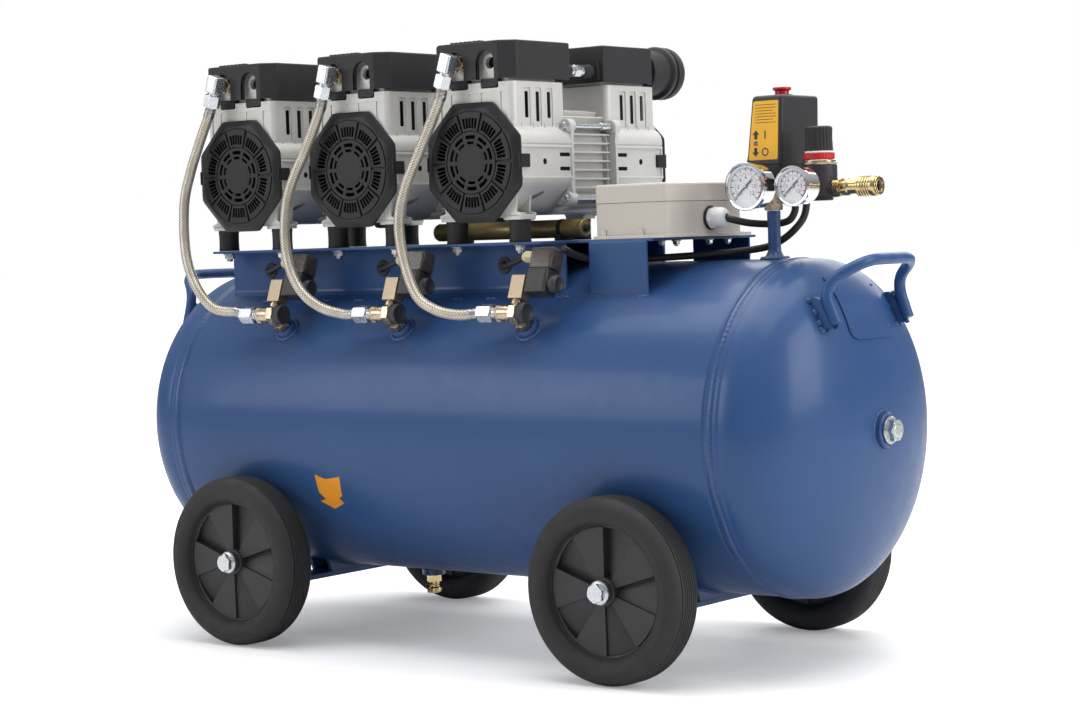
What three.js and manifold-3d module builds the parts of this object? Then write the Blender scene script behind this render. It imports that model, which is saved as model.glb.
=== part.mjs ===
// Wheeled oil-free workshop compressor: a horizontal welded air tank on four
// wheels carries three twin-cylinder motor-pump units, a control box and a
// pressure switch with regulator, gauges and outlet coupler.
// Millimetres, +Z up, X along the tank (outlet end +X), the hose side is -Y.
// Origin on the floor under the middle of the tank.
import * as THREE from 'three';
import { mergeVertices } from 'three/addons/utils/BufferGeometryUtils.js';
import Module from 'manifold-3d';

const wasm = await Module();
wasm.setup();

// ---------------------------------------------------------------- dimensions
const TANK_R = 185;            // tank outer radius
const TANK_Z = 260;            // height of the tank axis
const TANK_WALL = 3;
const SEAM_X = 396;            // girth welds
const HEAD_X = 411;            // where the dished heads start
const HEAD_DEPTH = 86;
const HEAD_N = 2.16;           // exponent of the dished head
const BEAD = 1.6;              // height of a weld bead
const GAP = 0.3;               // clearance between touching pieces

const WHEEL_X = 277;           // wheel centres, both ways
const WHEEL_R = 101;           // tyre radius at the tread flats
const WHEEL_W = 42;             // over the hub
const TYRE_W = 50;              // over the tyre, which bulges past the hub
const WHEEL_Y = 221.4;         // outer side of a hub
const RIM_R = 69.5;
const HUB_R = 17;
const AXLE_R = 7;
const BAR_X = 17;              // half width of an axle bar
const BAR_Z0 = 64, BAR_Z1 = 71;

const UNIT_X = [-315, -130, 56.5];   // motor unit centres
const HUB_Z = 563;             // motor shaft height
const MOTOR_HALF = 66;         // half width of a crankcase
const CASE_Y0 = 40, CASE_Y1 = 136;   // crankcase from the middle outwards
const JACKET_HALF = 57;
const JACKET_Z0 = 600, JACKET_Z1 = 652;
const HEAD_Z1 = 690;           // top of the cylinder head casting
const COVER_HALF = 59, COVER_Y0 = 32, COVER_Y1 = 143.5;
const COVER_Z0 = 655.4, COVER_Z1 = 698.5, COVER_BEVEL = 15, COVER_WALL = 2.5;
const GRILLE_AF = 135, GRILLE_T = 8.2, GRILLE_Y = 144.5;
const FOOT_R = 12.5, FOOT_X = 46, FOOT_Y = 117;
const DECK_TOP = 472, DECK_T = 3, DECK_X0 = -375, DECK_X1 = 150, DECK_HALF = 134;
const WEB_Y = 97, WEB_FOOT_Y = 108, WEB_BEND_Z = 422;
const SHAFT_R = 8, FAN_R = 50;

const VALVE = [75.5, -168, 394.5];   // check valve centre, from the unit centre
const VALVE_TILT = 20 * Math.PI / 180;
const HOSE_R = 6;
const PORT_X = -20, PORT_Z = 674;    // hose port on the front head
const ELBOW_Y = -156;

const RISER_X = 365, RISER_R = 7, RISER_TOP = 497.6;
const GAUGE_Z = 524, GAUGE_Y = -60;
const REG_X = 425, REG_R = 19;
const COUPLER_Z = 520;
const SW = { x0: 341, x1: 387.5, y0: -17, y1: 62, z0: 548, z1: 623 };

// ------------------------------------------------------------------ helpers
function solid(geometry) {
  const g = geometry.clone();
  for (const name of Object.keys(g.attributes)) if (name !== 'position') g.deleteAttribute(name);
  const m = mergeVertices(g, 1e-4);
  return new wasm.Manifold(new wasm.Mesh({
    numProp: 3,
    vertProperties: Float32Array.from(m.attributes.position.array),
    triVerts: Uint32Array.from(m.index.array),
  }));
}
function geometryOf(manifold) {
  const m = manifold.getMesh();
  const g = new THREE.BufferGeometry();
  const p = new Float32Array(m.numVert * 3);
  for (let i = 0; i < m.numVert; i++) for (let k = 0; k < 3; k++) p[3 * i + k] = m.vertProperties[m.numProp * i + k];
  g.setAttribute('position', new THREE.BufferAttribute(p, 3));
  g.setIndex(Array.from(m.triVerts));
  g.computeVertexNormals();
  return g;
}
const join = (...s) => s.flat().reduce((a, b) => a.add(b));
const cut = (a, ...s) => s.flat().reduce((r, b) => r.subtract(b), a);

function box(x0, x1, y0, y1, z0, z1) {
  const g = new THREE.BoxGeometry(x1 - x0, y1 - y0, z1 - z0);
  g.translate((x0 + x1) / 2, (y0 + y1) / 2, (z0 + z1) / 2);
  return solid(g);
}
// a cylinder or prism from point a to point b; r2 makes it a cone
function rod(a, b, r, seg = 12, r2 = r, turn = 0) {
  const A = new THREE.Vector3(...a), B = new THREE.Vector3(...b);
  const d = B.clone().sub(A);
  const g = new THREE.CylinderGeometry(r2, r, d.length(), seg);
  g.rotateY(turn);
  g.translate(0, d.length() / 2, 0);
  g.applyQuaternion(new THREE.Quaternion().setFromUnitVectors(new THREE.Vector3(0, 1, 0), d.clone().normalize()));
  g.translate(A.x, A.y, A.z);
  return solid(g);
}
const AX = {
  x: [new THREE.Vector3(0, 1, 0), new THREE.Vector3(0, 0, 1), new THREE.Vector3(1, 0, 0)],
  y: [new THREE.Vector3(1, 0, 0), new THREE.Vector3(0, 0, 1), new THREE.Vector3(0, -1, 0)],
  z: [new THREE.Vector3(1, 0, 0), new THREE.Vector3(0, 1, 0), new THREE.Vector3(0, 0, 1)],
};
// an outline extruded along an axis from w0 to w1; the outline is (Y,Z), (X,Z) or (X,Y)
function prism(axis, outline, w0, w1, holes = []) {
  const shape = new THREE.Shape(outline.map(([u, v]) => new THREE.Vector2(u, v)));
  for (const h of holes) shape.holes.push(new THREE.Path(h.map(([u, v]) => new THREE.Vector2(u, v))));
  const g = new THREE.ExtrudeGeometry(shape, { depth: w1 - w0, bevelEnabled: false, steps: 1 });
  const [u, v, w] = AX[axis];
  g.applyMatrix4(new THREE.Matrix4().makeBasis(u, v, w));
  if (axis === 'x') g.translate(w0, 0, 0);
  if (axis === 'y') g.translate(0, w1, 0);
  if (axis === 'z') g.translate(0, 0, w0);
  return solid(g);
}
const ring = (r, n, cx = 0, cy = 0, turn = 0) => Array.from({ length: n }, (_, i) => {
  const a = turn + i * 2 * Math.PI / n;
  return [cx + r * Math.cos(a), cy + r * Math.sin(a)];
});
// a body of revolution from (radius, position) pairs about X, Y or Z
function turned(axis, profile, seg, at = [0, 0, 0], phase = 0) {
  const g = new THREE.LatheGeometry(profile.map(([r, a]) => new THREE.Vector2(r, a)), seg, phase);
  if (axis === 'x') g.rotateZ(-Math.PI / 2);
  if (axis === 'z') g.rotateX(Math.PI / 2);
  g.translate(...at);
  let s = solid(g);
  if (s.volume() < 0) {
    const i = g.index.array;
    for (let k = 0; k < i.length; k += 3) { const t = i[k]; i[k] = i[k + 1]; i[k + 1] = t; }
    s = solid(g);
  }
  return s;
}
function tube(points, r, sides = 8, steps = 12, tension = 0.5) {
  const curve = new THREE.CatmullRomCurve3(points.map(p => new THREE.Vector3(...p)), false, 'catmullrom', tension);
  const shape = new THREE.Shape(ring(r, sides).map(([u, v]) => new THREE.Vector2(u, v)));
  const g = new THREE.ExtrudeGeometry(shape, { steps, extrudePath: curve, bevelEnabled: false });
  let s = solid(g);
  return s;
}
const part = new THREE.Group();
const LOOK = {
  blue: [0x24427a, 0.38, 0.25], cast: [0xbfc0bd, 0.45, 0.75], plastic: [0x2b2b2d, 0.55, 0.05],
  rubber: [0x161616, 0.85, 0.0], beige: [0xcfc9bf, 0.45, 0.0], chrome: [0xd8d8d8, 0.15, 1.0],
  zinc: [0xc8cac8, 0.3, 0.9], brass: [0xb89a4c, 0.3, 0.9], red: [0xc0161c, 0.4, 0.0],
  steel: [0xa9a59a, 0.35, 0.9], gold: [0x9a8248, 0.4, 0.5], nickel: [0xb8b09a, 0.3, 0.9],
};
function add(group, name, manifold, look) {
  const [color, roughness, metalness] = LOOK[look];
  const mesh = new THREE.Mesh(geometryOf(manifold), new THREE.MeshStandardMaterial({ color, roughness, metalness }));
  mesh.name = name;
  group.add(mesh);
  return mesh;
}

// --------------------------------------------------------------------- tank
function tankProfile(grow, bead) {
  const T = [0, 0.4, 0.66, 0.83, 0.94, 0.985, 1];
  const R = TANK_R + grow, D = HEAD_DEPTH + grow;
  const head = T.map(t => [t === 1 ? 0 : R * Math.pow(1 - Math.pow(t, HEAD_N), 1 / HEAD_N), HEAD_X + D * t]);
  const seam = bead ? [[R, SEAM_X - 5], [R + bead, SEAM_X - 2.5], [R + bead, SEAM_X + 2.5], [R, SEAM_X + 5]] : [];
  const right = [...seam, ...head];
  const left = right.map(([r, a]) => [r, -a]).reverse();
  return [...left, ...right];
}
const tankOuter = turned('x', tankProfile(0, 0), 40, [0, 0, TANK_Z]);
const tankClear = turned('x', tankProfile(GAP, 0), 40, [0, 0, TANK_Z]);
const tankInner = turned('x', (() => {
  const T = [0, 0.5, 0.83, 1], R = TANK_R - TANK_WALL - 0.4, D = HEAD_DEPTH - TANK_WALL;
  const h = T.map(t => [t === 1 ? 0 : R * Math.pow(1 - Math.pow(t, HEAD_N), 1 / HEAD_N), HEAD_X + D * t]);
  return [...h.map(([r, a]) => [r, -a]).reverse(), ...h];
})(), 20, [0, 0, TANK_Z]);
{
  const bosses = [];
  for (const cx of UNIT_X) {
    const d = [0, VALVE[1], VALVE[2] - TANK_Z];
    const L = Math.hypot(d[1], d[2]);
    const p = r => [cx + VALVE[0], d[1] / L * r, TANK_Z + d[2] / L * r];
    bosses.push(rod(p(TANK_R - 2.5), p(TANK_R + 8), 13, 12, 11.5));
  }
  const riser = join(rod([RISER_X, 0, TANK_Z + TANK_R - 2.5], [RISER_X, 0, TANK_Z + TANK_R + 8], 15, 16, RISER_R),
    rod([RISER_X, 0, TANK_Z + TANK_R + 2], [RISER_X, 0, RISER_TOP], RISER_R, 16));
  const endBoss = rod([488, 0, TANK_Z], [503, 0, TANK_Z], 19, 24);
  const drain = rod([-145, 0, TANK_Z - TANK_R + 2.5], [-145, 0, 66], 14, 12);
  let tank = join(tankOuter, bosses, riser, endBoss, drain);
  tank = cut(tank, tankInner, rod([470, 0, TANK_Z], [506, 0, TANK_Z], 9.4, 16),
    rod([-145, 0, 62], [-145, 0, 90], 4.5, 8));
  add(part, 'tank', tank, 'blue');
}
add(part, 'inspection_plug', join(rod([490, 0, TANK_Z], [504, 0, TANK_Z], 8.6, 12),
  rod([503.3, 0, TANK_Z], [506, 0, TANK_Z], 15, 16), rod([505.5, 0, TANK_Z], [514, 0, TANK_Z], 12.7, 6)), 'zinc');

for (const s of [1, -1]) {
  const P = [[486, 75, 378], [470, 77.8, 413], [473, 76, 421], [505, 54, 440.5], [510.5, 46, 442.5],
    [510.8, 0, 442.8], [510.5, -46, 442.5], [505, -54, 440.5], [473, -76, 421], [470, -77.8, 413], [486, -75, 378]];
  const bar = tube(P.map(([x, y, z]) => [s * x, y, z]), 6.3, 6, 18, 0.35);
  const lug = y => prism('y', [[470, 402], [452, 405], [462, 372], [484, 372]].map(([x, z]) => [s * x, z]), y - 4, y + 4);
  add(part, s > 0 ? 'handle_right' : 'handle_left', cut(join(bar, lug(75.5), lug(-75.5)), tankClear), 'blue');
}

// ------------------------------------------------------------ axles, wheels
const hubIn = WHEEL_Y - WHEEL_W - 1;
for (const s of [1, -1]) {
  const cx = s * WHEEL_X;
  const bar = prism('x', [[-hubIn + 4, BAR_Z0], [hubIn - 4, BAR_Z0], [hubIn - 4, WHEEL_R + 14], [hubIn - 11, WHEEL_R + 14],
    [hubIn - 11, BAR_Z1 + 8], [hubIn - 19, BAR_Z1], [-hubIn + 19, BAR_Z1], [-hubIn + 11, BAR_Z1 + 8],
    [-hubIn + 11, WHEEL_R + 14], [-hubIn + 4, WHEEL_R + 14]], cx - BAR_X, cx + BAR_X);
  const saddle = t => prism('x', [[-60, BAR_Z1 - 1], [60, BAR_Z1 - 1], [70, 100], [-70, 100]], cx + t - 2.5, cx + t + 2.5);
  const stubs = [1, -1].map(q => join(
    rod([cx, q * (hubIn - 5), WHEEL_R], [cx, q * (WHEEL_Y + 3), WHEEL_R], AXLE_R, 10),
    rod([cx, q * (WHEEL_Y + 0.6), WHEEL_R], [cx, q * (WHEEL_Y + 2.4), WHEEL_R], 13, 10),
    rod([cx, q * (WHEEL_Y + 2), WHEEL_R], [cx, q * (WHEEL_Y + 9.5), WHEEL_R], 11, 6)));
  add(part, s > 0 ? 'axle_bracket_right' : 'axle_bracket_left',
    cut(join(bar, saddle(-BAR_X + 2.5), saddle(BAR_X - 2.5), stubs), tankClear), 'blue');
}
const wheelSeg = 24;
const wheelProfile = [[AXLE_R + 0.35, -21], [RIM_R, -16], [WHEEL_R - 14, -TYRE_W / 2], [WHEEL_R, -TYRE_W / 2 + 11],
  [WHEEL_R, TYRE_W / 2 - 11], [WHEEL_R - 14, TYRE_W / 2], [RIM_R, 16], [AXLE_R + 0.35, 21], [AXLE_R + 0.35, -21]]
  .map(([r, a]) => [r / Math.cos(Math.PI / wheelSeg), a]);
for (const [name, sx, sy] of [['wheel_front_left', -1, -1], ['wheel_front_right', 1, -1], ['wheel_rear_left', -1, 1], ['wheel_rear_right', 1, 1]])
  add(part, name, turned('y', wheelProfile, wheelSeg, [sx * WHEEL_X, sy * (WHEEL_Y - WHEEL_W / 2), WHEEL_R], Math.PI / wheelSeg), 'rubber');

// ----------------------------------------------------------- drain cock
add(part, 'drain_cock_body', join(rod([-145, 0, 57], [-145, 0, 65.7], 9, 6), rod([-145, 0, 50.3], [-145, 0, 57.5], 6, 10),
  rod([-145, 0, 53], [-145, -12, 53], 3, 8), rod([-145, 0, 65], [-145, 0, 74], 4, 8)), 'brass');
add(part, 'drain_knob', join(rod([-145, 0, 43.5], [-145, 0, 50], 7, 10), rod([-145, -11, 46.5], [-145, 11, 46.5], 2.4, 8)), 'brass');

// ------------------------------------------------------------- motor deck
{
  const w0 = WEB_Y, w1 = WEB_Y - DECK_T, f = WEB_FOOT_Y, f1 = WEB_FOOT_Y - 3.2, zt = DECK_TOP, zu = DECK_TOP - DECK_T, zb = 404;
  const half = [[DECK_HALF, zt], [DECK_HALF, zu], [w0, zu], [w0, WEB_BEND_Z], [f, zb], [f1, zb], [w1, WEB_BEND_Z], [w1, zu]];
  let deck = prism('x', [...half, ...half.map(([y, z]) => [-y, z]).reverse()], DECK_X0, DECK_X1);
  const holes = UNIT_X.map(cx => rod([cx + 6, -90, 446], [cx + 6, -101, 446], 8, 10));
  add(part, 'motor_deck', cut(deck, tankClear, holes), 'blue');
}

// ------------------------------------------------- bracket and control box
{
  const plate = box(175, 280, -110, 95, DECK_TOP - DECK_T, DECK_TOP);
  const leg = (y, s) => prism('x', [[y, DECK_TOP - 1], [y, 424], [y - s * 3, 400], [y - s * 6.2, 400], [y - s * 3, 424], [y - s * 3, DECK_TOP - 1]]
    .slice(0, 6), 193, 271);
  add(part, 'box_bracket', cut(join(plate, leg(-110, -1), leg(95, 1)), tankClear), 'blue');
  const z0 = DECK_TOP + GAP;
  const base = join(box(197, 297, -108, 60, z0, z0 + 3.5), box(200, 295, -105, 41, z0 + 1, 511));
  const cavity = box(203, 292, -102, 38, z0 + 4.5, 512);
  add(part, 'control_box_base', cut(base, cavity, rod([290, -21.3, 492.3], [297, -21.3, 492.3], 9, 12)), 'beige');
  const lid = prism('x', [[-105.4, 511.3], [-105.4, 529], [-102.4, 532], [38.4, 532], [41.4, 529], [41.4, 511.3]], 199.6, 295.4);
  add(part, 'control_box_lid', cut(lid, box(203, 292, -102, 38, 510, 528.5)), 'beige');
}

// --------------------------------------------------------- cables with gland
{
  const gland = join(rod([296, -21.3, 492.3], [303, -21.3, 492.3], 12.5, 6), rod([302.5, -21.3, 492.3], [312, -21.3, 492.3], 11, 12),
    rod([311.5, -21.3, 492.3], [318, -21.3, 492.3], 10.5, 12, 6), rod([288, -21.3, 492.3], [296.5, -21.3, 492.3], 8.5, 12));
  const run = tube([[316, -21.3, 492], [325, -18, 489], [337, -7, 485.2], [349, 7, 483.5], [361, 16, 483.5], [373, 19.5, 487], [378.5, 21.5, 496], [379.5, 22, 506], [379.5, 22, 514]], 4, 8, 10);
  add(part, 'cable_box_to_switch', join(gland, run), 'rubber');
  const b = tube([[384.5, 37, 514], [384.5, 36.5, 503], [383, 32, 489], [377, 24, 477], [365, 19, 466.5], [349, 15, 459], [328, 8, 455.3], [300, -9, 452.5],
    [262, -30, 450.5], [232, -52, 449.5], [206, -78, 449.5], [187, -98, 451], [180, -118, 456], [178.8, -137, 463.5]], 4, 8, 18);
  add(part, 'cable_switch_to_valve', b, 'rubber');
}

// ---------------------------------------- manifold, gauges, switch, regulator
const MX = RISER_X;
{
  const z = GAUGE_Z;
  const body = join(rod([MX, 0, RISER_TOP + GAP], [MX, 0, 506], 10.5, 6), rod([MX, 0, 505.5], [MX, 0, 532.6], 9, 12),
    rod([MX - 20, 0, z], [REG_X - REG_R - GAP, 0, z], 8, 12), rod([MX, 0, z], [MX, GAUGE_Y + 27.3, z], 6.5, 6), rod([MX - 20, 0, z + 1], [MX - 8, 0, z + 1], 7.4, 6));
  add(part, 'manifold', body, 'zinc');
  const gauge = (x, zc, r, back) => join(
    turned('y', [[0, GAUGE_Y + 3], [r - 3.2, GAUGE_Y + 3], [r - 2.4, GAUGE_Y], [r, GAUGE_Y + 1.5], [r, GAUGE_Y + 7],
      [r - 2, GAUGE_Y + 8.5], [r - 2, GAUGE_Y + 27], [0, GAUGE_Y + 27]], 16, [x, 0, zc]),
    back < GAUGE_Y + 27.5 ? [] : rod([x, GAUGE_Y + 26, zc], [x, back, zc], 5, 8));
  add(part, 'tank_gauge', gauge(MX + 2, GAUGE_Z, 26, GAUGE_Y), 'chrome');
  add(part, 'outlet_gauge', gauge(REG_X + 1.5, 522.5, 21.75, -20.2), 'chrome');
  const frustum = (a, b) => {
    const p = [[a.x0, a.y0, a.z], [a.x1, a.y0, a.z], [a.x1, a.y1, a.z], [a.x0, a.y1, a.z], [b.x0, b.y0, b.z], [b.x1, b.y0, b.z], [b.x1, b.y1, b.z], [b.x0, b.y1, b.z]];
    const g = new THREE.BufferGeometry();
    g.setAttribute('position', new THREE.BufferAttribute(new Float32Array(p.flat()), 3));
    g.setIndex([0, 2, 1, 0, 3, 2, 4, 5, 6, 4, 6, 7, 0, 1, 5, 0, 5, 4, 1, 2, 6, 1, 6, 5, 2, 3, 7, 2, 7, 6, 3, 0, 4, 3, 4, 7]);
    return solid(g);
  };
  let sw = join(frustum({ x0: SW.x0, x1: SW.x1, y0: SW.y0, y1: SW.y1, z: SW.z0 }, { x0: SW.x0 + 8, x1: SW.x1 + 1.5, y0: SW.y0 + 2.5, y1: SW.y1, z: SW.z1 }),
    box(SW.x0 + 2, SW.x1 - 2, SW.y0 + 2, SW.y1 - 2, 533, SW.z0 + 0.5),
    rod([379.5, 22, 514.6], [379.5, 22, 534], 6.5, 10), rod([384.5, 37, 514.6], [384.5, 37, 534], 6.5, 10));
  sw = cut(sw, rod([368.5, 18, 596], [368.5, 18, 626], 9.2, 16));
  add(part, 'pressure_switch', sw, 'plastic');
  add(part, 'switch_knob', join(rod([368.5, 18, 606], [368.5, 18, 630], 8.4, 16), rod([368.5, 18, 629.5], [368.5, 18, 632.3], 10.2, 16)), 'red');
  let reg = join(rod([REG_X, 0, 511], [REG_X, 0, 546], REG_R, 20), rod([REG_X, 0, 545.5], [REG_X, 0, 550], 17.5, 16), rod([REG_X, 0, 549.5], [REG_X, 0, 556], 9, 12),
    rod([REG_X, 0, 504], [REG_X, 0, 511.5], 12, 16));
  add(part, 'regulator_body', reg, 'plastic');
  const knob = turned('z', [[9.6, -550.5], [16.4, -550.5], [16.4, -559.5], [14.9, -560.5], [14.9, -583], [13, -586.5], [0, -586.5], [0, -557], [9.6, -557], [9.6, -550.5]].map(([r, a]) => [r, -a]), 18, [REG_X, 0, 0]);
  add(part, 'regulator_knob', knob, 'plastic');
  const c0 = REG_X + REG_R + GAP;
  const core = join(rod([c0, 0, COUPLER_Z], [c0 + 8, 0, COUPLER_Z], 10.5, 6), rod([c0 + 7.5, 0, COUPLER_Z], [c0 + 22, 0, COUPLER_Z], 8, 16), rod([c0 + 21.5, 0, COUPLER_Z], [499, 0, COUPLER_Z], 8, 16));
  add(part, 'coupler_body', cut(core, rod([480, 0, COUPLER_Z], [501, 0, COUPLER_Z], 5.8, 16)), 'brass');
  const sleeve = turned('x', [[8.4, 474], [10.6, 474], [11.2, 476], [11.2, 494.5], [10.4, 496.5], [8.4, 496.5], [8.4, 474]], 20, [0, 0, COUPLER_Z]);
  add(part, 'coupler_sleeve', sleeve, 'brass');
  add(part, 'safety_valve', join(rod([MX - 20 - GAP, 0, z + 1], [MX - 27, 0, z + 1], 8, 6), rod([MX - 26.5, 0, z + 1], [MX - 42, 0, z + 1], 6.2, 12), rod([MX - 41.5, 0, z + 1], [MX - 52, 0, z + 1], 1.6, 8)), 'brass');
  add(part, 'safety_valve_pull', cut(join(rod([MX - 43.5, 0, z + 1], [MX - 58, 0, z + 1], 5.2, 12)), rod([MX - 43, 0, z + 1], [MX - 53, 0, z + 1], 2, 8)), 'red');
}

// ------------------------------------------------------------ start capacitor
add(part, 'capacitor', join(rod([-95, -28, 486], [128, -28, 486], 10.5, 16), box(-60, -50, -36, -20, DECK_TOP + GAP, 482), box(90, 100, -36, -20, DECK_TOP + GAP, 482)), 'gold');

// --------------------------------------------------------------- motor units
const HOSES = [
  [[-32.6, -157, 637.7], [-48.3, -160, 603.4], [-61.2, -164, 568.8], [-68.1, -169, 533.9], [-64.4, -175, 486.8], [-52.7, -180, 451.5], [-33.4, -181, 420.9], [-11.8, -177, 401.9], [17.5, -170.5, 397.9]],
  [[-33.3, -157, 629.5], [-52.6, -160, 590.1], [-69.1, -164, 559.2], [-78.6, -169, 527.9], [-78.0, -175, 487.2], [-67.2, -180, 450.9], [-47.5, -181, 421.3], [-21.3, -177, 402.9], [8.8, -170.5, 394.6]],
  [[-36.0, -157, 627.8], [-62.9, -160, 577.2], [-81.4, -164, 538.9], [-89.0, -169, 500.1], [-78.5, -175, 456.3], [-56.5, -180, 416.0], [-29.9, -181, 399.7], [-1.9, -177, 393.3], [21.3, -170.5, 393.8]],
];
function crankcase(s, head) {
  // s = -1 front, +1 rear; the outline is (X, Z)
  const H = MOTOR_HALF;
  const outline = [[-30, 503], [30, 503], [40, 510], [H, 536], [H + 1, 592], [JACKET_HALF, JACKET_Z0], [JACKET_HALF, JACKET_Z1], [-JACKET_HALF, JACKET_Z1], [-JACKET_HALF, JACKET_Z0], [-H - 1, 592], [-H, 536], [-40, 510]];
  const y0 = Math.min(s * CASE_Y0, s * CASE_Y1), y1 = Math.max(s * CASE_Y0, s * CASE_Y1);
  let body = prism('y', outline, y0, y1);
  const feet = [-1, 1].map(q => {
    const x = q * FOOT_X, y = s * FOOT_Y;
    const pad = box(x - 14, x + 14, y - 14, y + 14, 497.3, 503);
    const gus = prism('y', [[x + q * 14, 502], [x - q * 14, 502], [x - q * 14, 524], [x - q * 4, 524]], y - 2 + s * 12, y + 2 + s * 12);
    const rubber = rod([x, y, DECK_TOP + GAP], [x, y, 497.6], FOOT_R, 8);
    return join(pad, gus, rubber);
  });
  const cyl = prism('y', [[-46, JACKET_Z1 - 1], [46, JACKET_Z1 - 1], [46, HEAD_Z1 - 4], [42, HEAD_Z1], [-42, HEAD_Z1], [-46, HEAD_Z1 - 4]], Math.min(s * 44, s * 128), Math.max(s * 44, s * 128));
  body = join(body, feet, cyl, head);
  return cut(body, rod([0, s * 112, HUB_Z], [0, s * (CASE_Y1 + 1), HUB_Z], 54, 16), rod([0, s * 104, HUB_Z], [0, s * 113, HUB_Z], 10, 8),
    rod([0, s * 39, HUB_Z], [0, s * 104.5, HUB_Z], 40, 12));
}
function cover(s) {
  const B = COVER_BEVEL, W = COVER_HALF;
  const o = (d) => {
    const y0 = COVER_Y0 + d, y1 = COVER_Y1 - d, w = W - d, b = B - d * 0.4;
    return [[-w, s * y0], [w, s * y0], [w, s * (y1 - b)], [w - b, s * y1], [-w + b, s * y1], [-w, s * (y1 - b)]];
  };
  const fix = p => THREE.ShapeUtils.area(p.map(([u, v]) => new THREE.Vector2(u, v))) < 0 ? p.slice().reverse() : p;
  let c = prism('z', fix(o(0)), COVER_Z0, COVER_Z1);
  c = cut(c, prism('z', fix(o(COVER_WALL)), COVER_Z0 - 1, COVER_Z1 - COVER_WALL));
  const arch = x => prism('y', [[x - 13, COVER_Z0 - 1], [x + 13, COVER_Z0 - 1], [x + 13, 675], [x + 9, 684], [x, 688], [x - 9, 684], [x - 13, 675]], Math.min(s * 139, s * 146), Math.max(s * 139, s * 146));
  return cut(c, arch(PORT_X), arch(24), rod([41.5, s * 28, 668], [41.5, s * 38, 668], 8.5, 12));
}
function grille(s) {
  const R = GRILLE_AF / 2 / Math.cos(Math.PI / 8);
  const holes = [];
  const n = 6;
  for (let i = 0; i < n; i++) {
    const a0 = (i + 0.12) * 2 * Math.PI / n, a1 = (i + 0.88) * 2 * Math.PI / n, am = (a0 + a1) / 2;
    holes.push([[36, a0], [36, a1], [54, a1], [58, am], [54, a0]].map(([r, a]) => [r * Math.cos(a), HUB_Z + r * Math.sin(a)]).reverse());
  }
  const y1 = s * (CASE_Y1 + GAP), y2 = s * GRILLE_Y;
  const o = ring(R, 8, 0, HUB_Z, Math.PI / 8);
  return prism('y', o, Math.min(y1, y2), Math.max(y1, y2), holes);
}
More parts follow.
